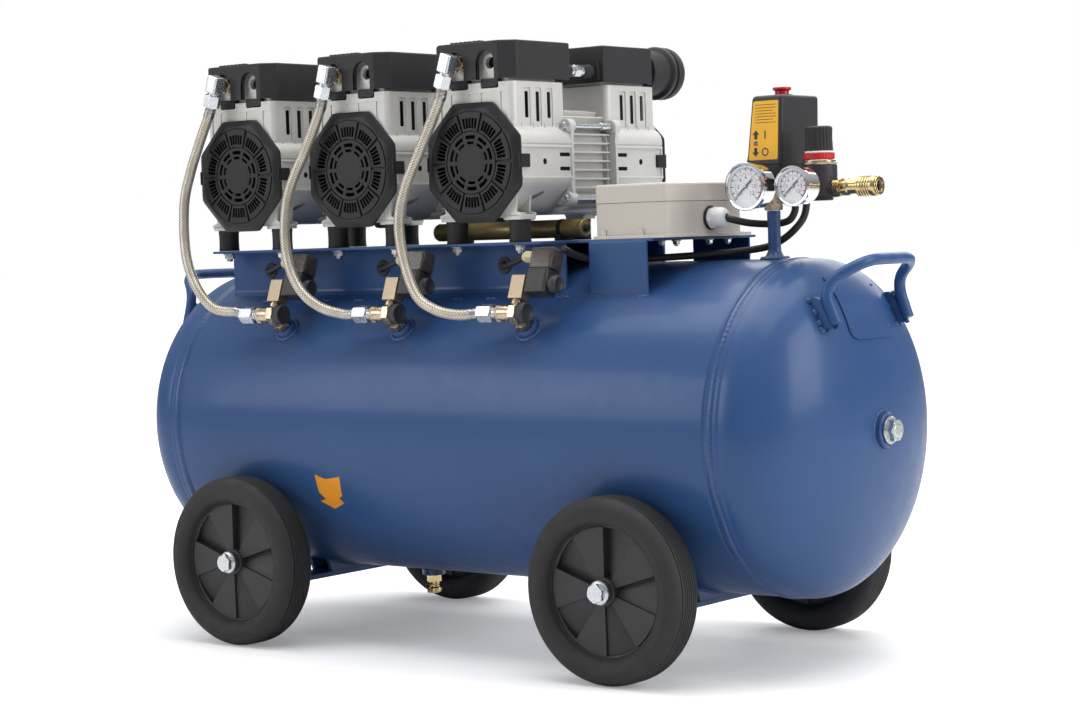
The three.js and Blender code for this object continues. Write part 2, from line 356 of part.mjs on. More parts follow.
UNIT_X.forEach((cx, i) => {
  const u = new THREE.Group();
  u.position.x = cx;
  part.add(u);
  const n = `unit_${i + 1}_`;
  // finned motor frame
  const fins = [];
  const N = 14;
  for (let k = 0; k < N; k++) {
    const a = (k + 0.5) * 2 * Math.PI / N, w = Math.PI / N * 0.34;
    const sq = t => { const c = Math.abs(Math.cos(t)), q = Math.abs(Math.sin(t)); return Math.min(60 / Math.max(c, 1e-6), 60 / Math.max(q, 1e-6), 66); };
    for (const [t, d] of [[a - Math.PI / N + w, -6], [a - w, -6], [a - w * 0.7, 0], [a + w * 0.7, 0], [a + w, -6]].slice(1)) {
      const r = sq(t) + d; fins.push([r * Math.cos(t), HUB_Z + r * Math.sin(t)]);
    }
  }
  const y = CASE_Y0 - GAP;
  add(u, n + 'motor_frame', cut(prism('y', fins, -y, y), rod([0, -y - 1, HUB_Z], [0, y + 1, HUB_Z], 46, 16)), 'cast');
  // rotor with shaft and two fans
  const D = [[0, 20], [FAN_R, 20]];
  const rotor = turned('y', [[0, -131], [FAN_R, -131], [FAN_R, -116], [SHAFT_R, -116], [SHAFT_R, -36], [42, -36], [42, 36], [SHAFT_R, 36], [SHAFT_R, 116], [FAN_R, 116], [FAN_R, 131], [0, 131]], 12, [0, 0, HUB_Z]);
  add(u, n + 'rotor_and_fans', rotor, 'steel');
  const link = rod([41.5, -44.5, 668], [41.5, -0.2, 668], 6.5, 10);
  const linkR = rod([41.5, 44.5, 668], [41.5, 0.2, 668], 6.5, 10);
  const filter = join(rod([24, 127, 672], [24, 185, 672], 9, 8), rod([24, 184, 672], [24, 188, 672], 32.5, 16), rod([24, 187, 672], [24, 206, 672], 30, 16));
  add(u, n + 'front_crankcase', crankcase(-1, link), 'cast');
  add(u, n + 'rear_crankcase', crankcase(1, join(linkR, filter)), 'cast');
  add(u, n + 'front_grille', grille(-1), 'plastic');
  add(u, n + 'rear_grille', grille(1), 'plastic');
  add(u, n + 'front_head_cover', cover(-1), 'plastic');
  add(u, n + 'rear_head_cover', cover(1), 'plastic');
  // braided hose with elbow and nuts
  const H = HOSES[i], top = H[0], hx = top[0] - PORT_X;
  const L = Math.hypot(hx, top[2] - PORT_Z), ux = hx / L, uz = (top[2] - PORT_Z) / L;
  const q = t => [PORT_X + ux * t, ELBOW_Y, PORT_Z + uz * t];
  const hose = join(
    rod([PORT_X, -128.4, PORT_Z], [PORT_X, ELBOW_Y - 3, PORT_Z], 8.2, 6),
    rod(q(-8), q(11), 9.2, 6), rod(q(10), q(28), 10.2, 6),
    tube([q(26), q(L * 0.9), ...H.slice(1), [26, -168, 394.3]], HOSE_R, 8, 12),
    rod([25, -168, 394.4], [VALVE[0] - 26, -168, 394.5], 10.5, 6));
  add(u, n + 'hose', hose, 'steel');
  // check valve with unloader solenoid
  const V = VALVE, c = Math.cos(VALVE_TILT), sn = Math.sin(VALVE_TILT);
  const at = (x, uu, nn) => [V[0] + x, V[1] + uu * sn - nn * c, V[2] + uu * c + nn * sn];
  const tilt = (x0, x1, u0, u1, n0, n1) => {
    const g = new THREE.BoxGeometry(x1 - x0, n1 - n0, u1 - u0);
    g.translate((x0 + x1) / 2, -(n0 + n1) / 2, (u0 + u1) / 2);
    g.rotateX(-VALVE_TILT);
    g.translate(...V);
    return solid(g);
  };
  const d = [0, V[1], V[2] - TANK_Z], Ld = Math.hypot(d[1], d[2]);
  const rad = r => [V[0], d[1] / Ld * r, TANK_Z + d[2] / Ld * r];
  const valve = join(
    rod([V[0] - 26 + GAP, V[1], V[2]], [V[0] + 6, V[1], V[2]], 9.5, 8), rod([V[0] - 2, V[1], V[2]], [V[0] + 8, V[1], V[2]], 13, 6), rod([V[0] + 7.5, V[1], V[2]], [V[0] + 18, V[1], V[2]], 11.5, 10),
    rod(rad(TANK_R + 8 + GAP), rad(Ld - 4), 10, 6),
    rod(at(0, 6, 0), at(0, 17, 0), 5.5, 6), tilt(-8, 11.5, 15, 42, -8, 8),
    tilt(11, 41, 22, 50.5, -16, 8), tilt(11, 43, 50, 76, -15, 7), rod(at(12, 67, -3), at(-5, 67, -3), 7, 6), rod(at(40, 34, -4), at(51, 34, -4), 10, 10));
  const lead = tube([at(-3, 67, -3), at(-12, 64, -6), [V[0] - 40, -131, 446], [10, -108, 446.5], [6, -92, 446]], 3, 6, 6);
  add(u, n + 'check_valve', join(valve, lead), 'nickel');
});

export default part;
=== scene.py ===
import math
import random

import bpy
import bmesh
from mathutils import Vector, Matrix, Quaternion
from mathutils.geometry import tessellate_polygon


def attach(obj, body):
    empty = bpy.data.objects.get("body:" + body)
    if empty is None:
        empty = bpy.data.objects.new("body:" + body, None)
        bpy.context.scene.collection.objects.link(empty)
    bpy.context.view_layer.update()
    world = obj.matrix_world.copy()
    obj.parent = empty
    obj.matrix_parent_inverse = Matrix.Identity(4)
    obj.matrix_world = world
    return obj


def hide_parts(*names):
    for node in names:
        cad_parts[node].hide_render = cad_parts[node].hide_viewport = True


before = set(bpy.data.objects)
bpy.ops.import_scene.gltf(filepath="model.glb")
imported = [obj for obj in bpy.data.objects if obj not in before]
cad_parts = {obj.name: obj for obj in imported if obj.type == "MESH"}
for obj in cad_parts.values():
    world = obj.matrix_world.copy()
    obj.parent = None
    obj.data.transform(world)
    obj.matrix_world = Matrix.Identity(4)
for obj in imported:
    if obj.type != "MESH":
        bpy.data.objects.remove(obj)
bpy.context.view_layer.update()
MM = 0.001
rnd = random.Random(11)
TAU = 2 * math.pi

# ------------------------------------------------------------------ geometry
# Everything below is in millimetres in the row frame; meshes are scaled to
# metres when a piece is made.
UNIT_X = [-315.0, -130.0, 56.5]
HUB_Z = 563.0
TANK_Z, TANK_R = 260.0, 185.0


class Geo:
    def __init__(self):
        self.v, self.f, self.m, self.w = [], [], [], []

    def add(self, verts, faces, mat=0, weave_shade=None):
        o = len(self.v)
        self.v += [tuple(p) for p in verts]
        self.w += list(weave_shade) if weave_shade is not None else [0.0] * len(verts)
        self.f += [tuple(i + o for i in q) for q in faces]
        self.m += [mat] * len(faces)
        return self

    def join(self, *others, mat=None):
        for g in others:
            o = len(self.v)
            self.v += g.v
            self.w += g.w
            self.f += [tuple(i + o for i in q) for q in g.f]
            self.m += g.m if mat is None else [mat] * len(g.f)
        return self

    def map(self, fn):
        g = Geo()
        g.v = [tuple(fn(*p)) for p in self.v]
        g.f, g.m, g.w = list(self.f), list(self.m), list(self.w)
        return g

    def move(self, dx=0, dy=0, dz=0):
        return self.map(lambda x, y, z: (x + dx, y + dy, z + dz))


def basis(d):
    d = Vector(d).normalized()
    up = Vector((0, 0, 1)) if abs(d.z) < 0.9 else Vector((1, 0, 0))
    u = up.cross(d).normalized()
    return u, d.cross(u), d


def lathe(origin, axis, prof, n=32, mat=0, phase=0.0, fn=None):
    """Revolves (radius, position) pairs about an axis; fn(r, a, angle) may change the radius."""
    O = Vector(origin)
    u, v, d = basis(axis)
    closed = prof[0] == prof[-1] and prof[0][0] > 0
    P = prof[:-1] if closed else prof
    g, idx, verts = Geo(), [], []
    for r, a in P:
        if r < 1e-6:
            idx.append([len(verts)])
            verts.append(O + d * a)
        else:
            row = []
            for k in range(n):
                t = phase + k * TAU / n
                rr = fn(r, a, t) if fn else r
                row.append(len(verts))
                verts.append(O + d * a + (u * math.cos(t) + v * math.sin(t)) * rr)
            idx.append(row)
    faces = []
    pairs = list(zip(idx, idx[1:])) + ([(idx[-1], idx[0])] if closed else [])
    for A, B in pairs:
        for k in range(n):
            k2 = (k + 1) % n
            if len(A) == 1 and len(B) == 1:
                continue
            if len(A) == 1:
                faces.append((A[0], B[k2], B[k]))
            elif len(B) == 1:
                faces.append((A[k], A[k2], B[0]))
            else:
                faces.append((A[k], A[k2], B[k2], B[k]))
    if not closed:
        if len(idx[0]) > 1:
            faces.append(tuple(reversed(idx[0])))
        if len(idx[-1]) > 1:
            faces.append(tuple(idx[-1]))
    return g.add(verts, faces, mat)


def rod(a, b, r, n=24, mat=0, r2=None, ch=0.0, phase=0.0):
    """A cylinder from a to b with small chamfers ch at its ends."""
    A, B = Vector(a), Vector(b)
    L = (B - A).length
    r2 = r if r2 is None else r2
    if ch:
        prof = [(r - ch, 0), (r, ch), (r2, L - ch), (r2 - ch, L)]
    else:
        prof = [(r, 0), (r2, L)]
    return lathe(A, B - A, prof, n, mat, phase)


def hexa(a, b, r, mat=0, ch=1.0, phase=0.0, both=True):
    """A hexagon bar with turned chamfers, as on a nut: r is across corners / 2."""
    A, B = Vector(a), Vector(b)
    u, v, d = basis(B - A)
    L = (B - A).length
    n = 36
    rows = []
    rin = r * math.cos(math.pi / 6)
    stations = [(0.0, 1), (ch, 0), (L - ch, 0), (L, 1)] if both else [(0.0, 0), (L - ch, 0), (L, 1)]
    for a_, cut in stations:
        row = []
        for k in range(n):
            t = k * TAU / n
            m = (t % (TAU / 6)) - math.pi / 6
            rh = rin / math.cos(m)
            if cut:
                rh = min(rh, rin + 0.02)
            row.append(A + d * a_ + (u * math.cos(t + phase) + v * math.sin(t + phase)) * rh)
        rows.append(row)
    # chamfer follows a cone, so the corners run lower than the flats
    if ch:
        for i, row in enumerate(rows):
            inner = 1 if both else 1
        for k in range(n):
            t = k * TAU / n
            m = (t % (TAU / 6)) - math.pi / 6
            extra = (rin / math.cos(m) - rin) * 0.6
            if both:
                rows[1][k] = rows[1][k] - d * (ch - 0.15 - extra)
            rows[-2][k] = rows[-2][k] + d * (ch - 0.15 - extra)
    return loft(rows, mat)


def loft(rows, mat=0, caps=True, closed=True):
    g = Geo()
    n = len(rows[0])
    verts = [p for row in rows for p in row]
    faces = []
    for i in range(len(rows) - 1):
        for k in range(n if closed else n - 1):
            k2 = (k + 1) % n
            faces.append((i * n + k, i * n + k2, (i + 1) * n + k2, (i + 1) * n + k))
    if caps:
        faces.append(tuple(reversed(range(n))))
        faces.append(tuple((len(rows) - 1) * n + k for k in range(n)))
    return g.add(verts, faces, mat)


AXES = {"x": ((0, 1, 0), (0, 0, 1), (1, 0, 0)), "y": ((1, 0, 0), (0, 0, 1), (0, 1, 0)), "z": ((1, 0, 0), (0, 1, 0), (0, 0, 1))}


def prism(axis, outline, w0, w1, holes=(), mat=0):
    U, V, W = (Vector(c) for c in AXES[axis])
    loops = [list(outline)] + [list(h) for h in holes]
    flat = [p for lp in loops for p in lp]
    tris = tessellate_polygon([[Vector((p[0], p[1], 0)) for p in lp] for lp in loops])
    n = len(flat)
    verts = [U * p[0] + V * p[1] + W * w0 for p in flat] + [U * p[0] + V * p[1] + W * w1 for p in flat]
    faces = []
    if len(loops) == 1:
        faces += [tuple(range(n)), tuple(n + i for i in reversed(range(n)))]
    else:
        faces += [tuple(t) for t in tris] + [tuple(n + i for i in reversed(t)) for t in tris]
    o = 0
    for lp in loops:
        m = len(lp)
        for k in range(m):
            a, b = o + k, o + (k + 1) % m
            faces.append((a, b, n + b, n + a))
        o += m
    return Geo().add(verts, faces, mat)


def box(x0, x1, y0, y1, z0, z1, mat=0):
    return prism("z", [(x0, y0), (x1, y0), (x1, y1), (x0, y1)], z0, z1, mat=mat)


def rrect(x0, x1, y0, y1, r, n=5):
    pts = []
    for cx, cy, a in ((x1 - r, y0 + r, -90), (x1 - r, y1 - r, 0), (x0 + r, y1 - r, 90), (x0 + r, y0 + r, 180)):
        for k in range(n + 1):
            t = math.radians(a + 90 * k / n)
            pts.append((cx + r * math.cos(t), cy + r * math.sin(t)))
    return pts


def circle(r, n=24, cx=0.0, cy=0.0, phase=0.0):
    return [(cx + r * math.cos(phase + k * TAU / n), cy + r * math.sin(phase + k * TAU / n)) for k in range(n)]


def rbox(x0, x1, y0, y1, z0, z1, r=3.0, top=0.0, bot=0.0, mat=0, n=5, seg=4):
    """A box with rounded vertical corners and rounded top or bottom edges."""
    rows = []

    def ring(inset, z):
        rr = max(r - inset, 0.4)
        return [Vector((p[0], p[1], z)) for p in rrect(x0 + inset, x1 - inset, y0 + inset, y1 - inset, rr, n)]
    if bot:
        for k in range(seg + 1):
            t = math.pi / 2 * k / seg
            rows.append(ring(bot * (1 - math.sin(t)), z0 + bot * (1 - math.cos(t))))
    else:
        rows.append(ring(0, z0))
    if top:
        for k in range(seg + 1):
            t = math.pi / 2 * k / seg
            rows.append(ring(top * (1 - math.cos(t)), z1 - top + top * math.sin(t)))
    else:
        rows.append(ring(0, z1))
    return loft(rows, mat)


def catmull(P, per, tension=0.5):
    P = [Vector(p) for p in P]
    out = []
    for i in range(len(P) - 1):
        p0 = P[i - 1] if i > 0 else P[0] * 2 - P[1]
        p1, p2 = P[i], P[i + 1]
        p3 = P[i + 2] if i + 2 < len(P) else P[-1] * 2 - P[-2]
        m1, m2 = (p2 - p0) * tension, (p3 - p1) * tension
        for k in range(per):
            t = k / per
            t2, t3 = t * t, t * t * t
            out.append(p1 * (2 * t3 - 3 * t2 + 1) + m1 * (t3 - 2 * t2 + t) + p2 * (-2 * t3 + 3 * t2) + m2 * (t3 - t2))
    out.append(P[-1])
    return out


def rounded(P, r, n=10):
    """A polyline whose corners are rounded over a length r each side."""
    P = [Vector(p) for p in P]
    out = [P[0]]
    for i in range(1, len(P) - 1):
        c = P[i]
        a, b = P[i - 1] - c, P[i + 1] - c
        if abs(a.normalized().dot(b.normalized())) > 0.995:
            out.append(c)
            continue
        ra, rb = min(r, a.length * 0.48), min(r, b.length * 0.48)
        p, q = c + a.normalized() * ra, c + b.normalized() * rb
        for k in range(n + 1):
            t = k / n
            out.append(p * (1 - t) ** 2 + c * 2 * t * (1 - t) + q * t * t)
    out.append(P[-1])
    return out


def even(P, step):
    """The same path with points every step mm."""
    L = [0.0]
    for a, b in zip(P, P[1:]):
        L.append(L[-1] + (b - a).length)
    n = max(2, int(round(L[-1] / step)))
    out, j = [], 0
    for k in range(n + 1):
        s = L[-1] * k / n
        while j < len(L) - 2 and L[j + 1] < s:
            j += 1
        t = (s - L[j]) / max(L[j + 1] - L[j], 1e-9)
        out.append(P[j].lerp(P[j + 1], t))
    return out, L[-1]


def tube(P, r, n=16, mat=0, fn=None, dome=0.0, weave_shade=None):
    """A tube along points; fn(i, angle, s) gives the radius at ring i."""
    P = [Vector(p) for p in P]
    T = []
    for i in range(len(P)):
        a, b = P[max(i - 1, 0)], P[min(i + 1, len(P) - 1)]
        T.append((b - a).normalized())
    u, v, _ = basis(T[0])
    rows, weave_shade_vals, s = [], [], 0.0
    for i, p in enumerate(P):
        if i:
            q = T[i - 1].rotation_difference(T[i])
            u = (q @ u).normalized()
            u = (u - T[i] * u.dot(T[i])).normalized()
            s += (p - P[i - 1]).length
        v = T[i].cross(u)
        row = []
        for k in range(n):
            t = k * TAU / n
            rr = fn(i, t, s) if fn else (r, 0.0)
            if not isinstance(rr, tuple):
                rr = (rr, 0.0)
            row.append(p + (u * math.cos(t) + v * math.sin(t)) * rr[0])
            weave_shade_vals.append(rr[1])
        rows.append(row)
    if dome:
        def cap(row, c, d):
            out = []
            for k in range(1, 4):
                a = math.pi / 2 * k / 4
                out.append([c + (q - c) * math.cos(a) + d * dome * math.sin(a) for q in row])
            return out
        rows = list(reversed(cap(rows[0], P[0], -T[0]))) + rows + cap(rows[-1], P[-1], T[-1])
        weave_shade_vals = [0.0] * (3 * n) + weave_shade_vals + [0.0] * (3 * n)
    g = loft(rows, mat)
    g.w = weave_shade_vals
    return g


def blob(p, r, d=(0, 0, 1), flat=0.6, mat=0, seed=0, stretch=1.0, along=None):
    """A small lump of weld metal."""
    rr = random.Random(seed)
    ph = [rr.uniform(0, TAU) for _ in range(4)]
    prof = [(0, -r * flat * 0.5)] + [(r * math.sin(a), -r * flat * math.cos(a)) for a in (0.9, 1.3, 1.6, 1.95, 2.3, 2.7)] + [(0, r * flat)]
    return lathe(p, d, prof, 14, mat, fn=lambda R, a, t: R * (1 + 0.1 * math.sin(3 * t + ph[0]) + 0.07 * math.sin(5 * t + ph[1])))


def weld_ring(c, d, R, w, h, n=90, mat=0, seed=0, tilt=None):
    """A ripple-topped fillet weld round a boss."""
    rr = random.Random(seed)
    ph = rr.uniform(0, TAU)
    u, v, dd = basis(d)
    C = Vector(c)
    rows = []
    for k in range(n):
        t = k * TAU / n
        rip = 1 + 0.13 * math.sin(t * n / 3.2 + ph) + 0.08 * math.sin(7 * t + ph * 2)
        e = u * math.cos(t) + v * math.sin(t)
        dz = tilt(t) if tilt else 0.0
        row = []
        for j in range(6):
            a = math.pi * j / 5
            row.append(C + e * (R + w * rip * math.cos(a)) + dd * (dz + h * rip * math.sin(a)))
        rows.append(row)
    g = Geo()
    m = 6
    faces = []
    for k in range(n):
        k2 = (k + 1) % n
        for j in range(m):
            j2 = (j + 1) % m
            faces.append((k * m + j, k2 * m + j, k2 * m + j2, k * m + j2))
    return g.add([p for r_ in rows for p in r_], faces, mat)


def weld_line(P, w, h, normal, mat=0, seed=0):
    """A ripple-topped weld bead along points, lying on a surface with that normal."""
    rr = random.Random(seed)
    ph = rr.uniform(0, TAU)
    P, L = even([Vector(p) for p in P], 1.2)
    N = Vector(normal).normalized()
    rows = []
    for i, p in enumerate(P):
        t = (P[min(i + 1, len(P) - 1)] - P[max(i - 1, 0)]).normalized()
        side = N.cross(t).normalized()
        e = min(i, len(P) - 1 - i)
        k = min(1.0, 0.35 + e * 0.25)
        rip = (1 + 0.12 * math.sin(i * 1.15 + ph)) * k
        rows.append([p + side * w * rip * math.cos(a) + N * (h * rip * math.sin(a) - 0.3) for a in (math.pi * j / 6 for j in range(7))])
    return loft(rows, mat)


# ------------------------------------------------------------- mesh and csg
def mesh_of(g, name="m"):
    me = bpy.data.meshes.new(name)
    me.from_pydata([(x * MM, y * MM, z * MM) for x, y, z in g.v], [], g.f)
    bm = bmesh.new()
    bm.from_mesh(me)
    # per-vertex painted braid shade and highlight, read by the braid material
    layer = bm.verts.layers.float.new("weave_shade")
    bm.verts.ensure_lookup_table()
    for i, vtx in enumerate(bm.verts):
        vtx[layer] = g.w[i]
    bm.faces.ensure_lookup_table()
    for i, fc in enumerate(bm.faces):
        if i < len(g.m):
            fc.material_index = g.m[i]
    bmesh.ops.remove_doubles(bm, verts=bm.verts, dist=2e-6)
    bmesh.ops.recalc_face_normals(bm, faces=bm.faces)
    bm.to_mesh(me)
    bm.free()
    me.update()
    return me


def temp(g, bevel=0.0, seg=2, angle=30):
    ob = bpy.data.objects.new("tmp", mesh_of(g))
    bpy.context.scene.collection.objects.link(ob)
    if bevel:
        b = ob.modifiers.new("b", "BEVEL")
        b.width, b.segments, b.limit_method, b.angle_limit = bevel * MM, seg, "ANGLE", math.radians(angle)
        b.use_clamp_overlap = True
    return ob


def bake_mesh(ob):
    bpy.context.view_layer.update()
    dg = bpy.context.evaluated_depsgraph_get()
    return bpy.data.meshes.new_from_object(ob.evaluated_get(dg))


def geo_of(me, mat=0):
    return Geo().add([(v.co.x / MM, v.co.y / MM, v.co.z / MM) for v in me.vertices], [tuple(p.vertices) for p in me.polygons], mat)


def beveled(g, bevel, seg=2, angle=30, mat=0):
    ob = temp(g, bevel, seg, angle)
    me = bake_mesh(ob)
    out = geo_of(me, mat)
    bpy.data.objects.remove(ob)
    return out


def csg(base, add=(), cut=(), mat=0):
    """Joins and cuts closed solids; each entry is a Geo."""
    ob = temp(base)
    extra = []
    for op, items in (("UNION", add), ("DIFFERENCE", cut)):
        for it in items:
            o = temp(it)
            extra.append(o)
            m = ob.modifiers.new("x", "BOOLEAN")
            m.operation, m.object, m.solver = op, o, "MANIFOLD"
    me = bake_mesh(ob)
    if not len(me.polygons):
        for m in ob.modifiers:
            m.solver = "EXACT"
        me = bake_mesh(ob)
    out = geo_of(me, mat)
    for o in [ob] + extra:
        bpy.data.objects.remove(o)
    return out


ROTORS = {1: "rotor_1", 2: "rotor_2", 3: "rotor_3"}


def piece(name, g, mats, body="chassis", bevel=0.0, seg=2, replaces=(), slot=None, angle=38, weighted=True, flat=False):
    me = mesh_of(g, name)
    for m in (mats if isinstance(mats, (list, tuple)) else [mats]):
        me.materials.append(m)
    ob = bpy.data.objects.new(name, me)
    bpy.context.scene.collection.objects.link(ob)
    if not flat:
        me.polygons.foreach_set("use_smooth", [True] * len(me.polygons))
        me.set_sharp_from_angle(angle=math.radians(angle))
    if bevel:
        b = ob.modifiers.new("edges", "BEVEL")
        b.width, b.segments, b.limit_method, b.angle_limit = bevel * MM, seg, "ANGLE", math.radians(32)
        b.use_clamp_overlap = True
        b.profile = 0.5
    if (bevel or weighted) and not flat:
        w = ob.modifiers.new("shade", "WEIGHTED_NORMAL")
        w.keep_sharp = True
        w.weight = 60
    if "weave_shade" in me.attributes and not any(g.w):
        me.attributes.remove(me.attributes["weave_shade"])
    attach(ob, body)
    if replaces:
        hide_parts(*replaces)
    return ob


# ----------------------------------------------------------------- materials
def srgb(r, g, b):
    def c(x):
        x /= 255.0
        return x / 12.92 if x <= 0.04045 else ((x + 0.055) / 1.055) ** 2.4
    return (c(r), c(g), c(b), 1.0)


def scaled(col, k):
    return tuple(min(1.0, c * k) for c in col[:3]) + (1.0,)


class Nodes:
    def __init__(self, name):
        self.mat = bpy.data.materials.new(name)
        self.mat.use_nodes = True
        self.nt = self.mat.node_tree
        self.nt.nodes.clear()
        self.out = self.nt.nodes.new("ShaderNodeOutputMaterial")
        self.bsdf = self.nt.nodes.new("ShaderNodeBsdfPrincipled")
        self.nt.links.new(self.bsdf.outputs[0], self.out.inputs[0])
        self.tc = self.nt.nodes.new("ShaderNodeTexCoord")

    def node(self, kind, **kw):
        n = self.nt.nodes.new(kind)
        for k, val in kw.items():
            setattr(n, k, val)
        return n

    def link(self, a, b):
        self.nt.links.new(a, b)

    def coords(self, scale=(1, 1, 1)):
        if scale == (1, 1, 1):
            return self.tc.outputs["Object"]
        m = self.node("ShaderNodeMapping")
        m.inputs["Scale"].default_value = scale
        self.link(self.tc.outputs["Object"], m.inputs["Vector"])
        return m.outputs[0]

    def noise(self, scale, detail=3.0, rough=0.55, stretch=(1, 1, 1), distort=0.0):
        n = self.node("ShaderNodeTexNoise")
        n.inputs["Scale"].default_value = scale
        n.inputs["Detail"].default_value = detail
        n.inputs["Roughness"].default_value = rough
        n.inputs["Distortion"].default_value = distort
        self.link(self.coords(stretch), n.inputs["Vector"])
        return n.outputs["Fac"]

    def ramp(self, fac, stops):
        r = self.node("ShaderNodeValToRGB")
        els = r.color_ramp.elements
        els[0].position, els[0].color = stops[0]
        els[1].position, els[1].color = stops[-1]
        for p, c in stops[1:-1]:
            e = els.new(p)
            e.color = c
        self.link(fac, r.inputs["Fac"])
        return r.outputs["Color"]

    def remap(self, fac, a, b, lo=0.3, hi=0.7):
        m = self.node("ShaderNodeMapRange")
        m.inputs["From Min"].default_value = lo
        m.inputs["From Max"].default_value = hi
        m.inputs["To Min"].default_value = a
        m.inputs["To Max"].default_value = b
        self.link(fac, m.inputs["Value"])
        return m.outputs["Result"]

    def mix(self, fac, a, b):
        m = self.node("ShaderNodeMix", data_type="RGBA")
        self.link(fac, m.inputs["Factor"])
        for val, sock in ((a, m.inputs["A"]), (b, m.inputs["B"])):
            if isinstance(val, tuple):
                sock.default_value = val
            else:
                self.link(val, sock)
        return m.outputs["Result"]

    def bump(self, height, strength, dist, chain=None):
        b = self.node("ShaderNodeBump")
        b.inputs["Strength"].default_value = strength
        b.inputs["Distance"].default_value = dist
        self.link(height, b.inputs["Height"])
        if chain is not None:
            self.link(chain, b.inputs["Normal"])
        return b.outputs["Normal"]


def material(name, col, rough=0.5, metal=0.0, var=0.08, vscale=30.0, rvar=0.07, rscale=120.0, bump=0.0, bscale=900.0,
             bdist=0.0002, coat=0.0, coat_r=0.12, spec=0.5, stretch=(1, 1, 1), grime=0.0, sheen=0.0):
    n = Nodes(name)
    b = n.bsdf
    fac = n.noise(vscale, 4.0, stretch=stretch)
    colour = n.ramp(fac, [(0.3, scaled(col, 1 - var)), (0.52, col), (0.72, scaled(col, 1 + var))])
    if grime:
        spots = n.noise(vscale * 5.5, 5.0, 0.7)
        colour = n.mix(n.remap(spots, 0.0, grime, 0.55, 0.75), colour, scaled(col, 0.55))
    n.link(colour, b.inputs["Base Color"])
    n.link(n.remap(n.noise(rscale, 3.0, stretch=stretch), rough - rvar, rough + rvar), b.inputs["Roughness"])
    b.inputs["Metallic"].default_value = metal
    b.inputs["Specular IOR Level"].default_value = spec
    b.inputs["Coat Weight"].default_value = coat
    b.inputs["Coat Roughness"].default_value = coat_r
    if sheen:
        b.inputs["Sheen Weight"].default_value = sheen
    if bump:
        n.link(n.bump(n.noise(bscale, 2.0, stretch=stretch), bump, bdist), b.inputs["Normal"])
    n.mat["builder"] = name
    return n.mat


BLUE = material("blue_paint", srgb(46, 77, 124), 0.36, 0.0, 0.05, 9, 0.05, 60, bump=0.22, bscale=420, bdist=0.00025, coat=0.13, coat_r=0.12, spec=0.24)
WELD = material("blue_paint_weld", srgb(45, 75, 121), 0.32, 0.0, 0.1, 160, 0.08, 300, bump=0.45, bscale=700, bdist=0.0004, coat=0.15, coat_r=0.12, spec=0.35)
CAST = material("cast_aluminium", srgb(205, 204, 200), 0.5, 0.3, 0.045, 26, 0.08, 220, bump=0.4, bscale=1500, bdist=0.00022, grime=0.12)
CAST_IN = material("cast_shadow", srgb(30, 30, 31), 0.8, 0.1, 0.1, 40, bump=0.2)
COVER = material("black_plastic", srgb(44, 44, 46), 0.5, 0.0, 0.06, 22, 0.06, 150, bump=0.55, bscale=2100, bdist=0.00018, spec=0.3)
GRILLE = material("grille_plastic", srgb(36, 36, 38), 0.42, 0.0, 0.06, 30, 0.06, 160, bump=0.3, bscale=2100, bdist=0.00014, spec=0.3)
# painted shade: near-black colour that stands in for the shade inside the crankcases
SHADE_BLACK = material("painted_shade_black", srgb(13, 13, 14), 0.75, 0.0, 0.2, 60, bump=0.2, spec=0.2)
RUBBER = material("tyre_rubber", srgb(43, 43, 44), 0.66, 0.0, 0.1, 18, 0.08, 90, bump=0.3, bscale=900, bdist=0.0002, spec=0.35, grime=0.2)
FOOT = material("foot_rubber", srgb(36, 36, 37), 0.6, 0.0, 0.1, 60, 0.08, 200, bump=0.25, bscale=1200, spec=0.4)
RIM = material("rim_plastic", srgb(46, 46, 48), 0.5, 0.0, 0.06, 30, 0.05, 160, bump=0.3, bscale=1900, bdist=0.00013, spec=0.45)
BEIGE = material("box_beige", srgb(194, 187, 178), 0.34, 0.0, 0.025, 12, 0.05, 120, bump=0.1, bscale=1600, bdist=0.0001, spec=0.4)
SEAL = material("seal_grey", srgb(96, 92, 88), 0.7, 0.0, 0.08, 60, bump=0.2)
CHROME = material("chrome", srgb(226, 226, 228), 0.09, 1.0, 0.03, 60, 0.03, 90, bump=0.03, bscale=300)
ZINC = material("zinc", srgb(206, 209, 208), 0.27, 1.0, 0.07, 240, 0.08, 420, bump=0.12, bscale=1400, bdist=0.0001)
BRIGHT = material("bright_zinc", srgb(204, 208, 212), 0.26, 0.9, 0.05, 240, 0.08, 420, bump=0.12, bscale=1400, bdist=0.0001)
BRASS = material("brass", srgb(205, 184, 134), 0.2, 1.0, 0.07, 120, 0.07, 260, bump=0.08, bscale=900, bdist=0.0001)
NICKEL = material("nickel_brass", srgb(190, 172, 148), 0.26, 1.0, 0.07, 130, 0.08, 300, bump=0.1, bscale=1000, bdist=0.0001)
SATIN = material("satin_nickel", srgb(176, 160, 138), 0.42, 0.9, 0.06, 300, 0.05, 500, bump=0.35, bscale=2400, bdist=0.0001)
STEEL = material("steel", srgb(170, 168, 164), 0.36, 1.0, 0.08, 200, 0.08, 300, bump=0.1)
LAMINATE = material("rotor_laminations", srgb(112, 108, 104), 0.42, 0.9, 0.12, 900, 0.08, 500, bump=0.3, bscale=600, stretch=(0.02, 1, 0.02))
RED = material("red_plastic", srgb(190, 20, 30), 0.35, 0.0, 0.06, 60, 0.05, 200, bump=0.08, bscale=1500, spec=0.5)
WHITE = material("white_nylon", srgb(226, 228, 230), 0.4, 0.0, 0.025, 60, 0.05, 200, bump=0.1, bscale=1500)
CABLE = material("cable_sheath", srgb(33, 33, 34), 0.5, 0.0, 0.1, 70, 0.08, 260, bump=0.3, bscale=800, spec=0.4)
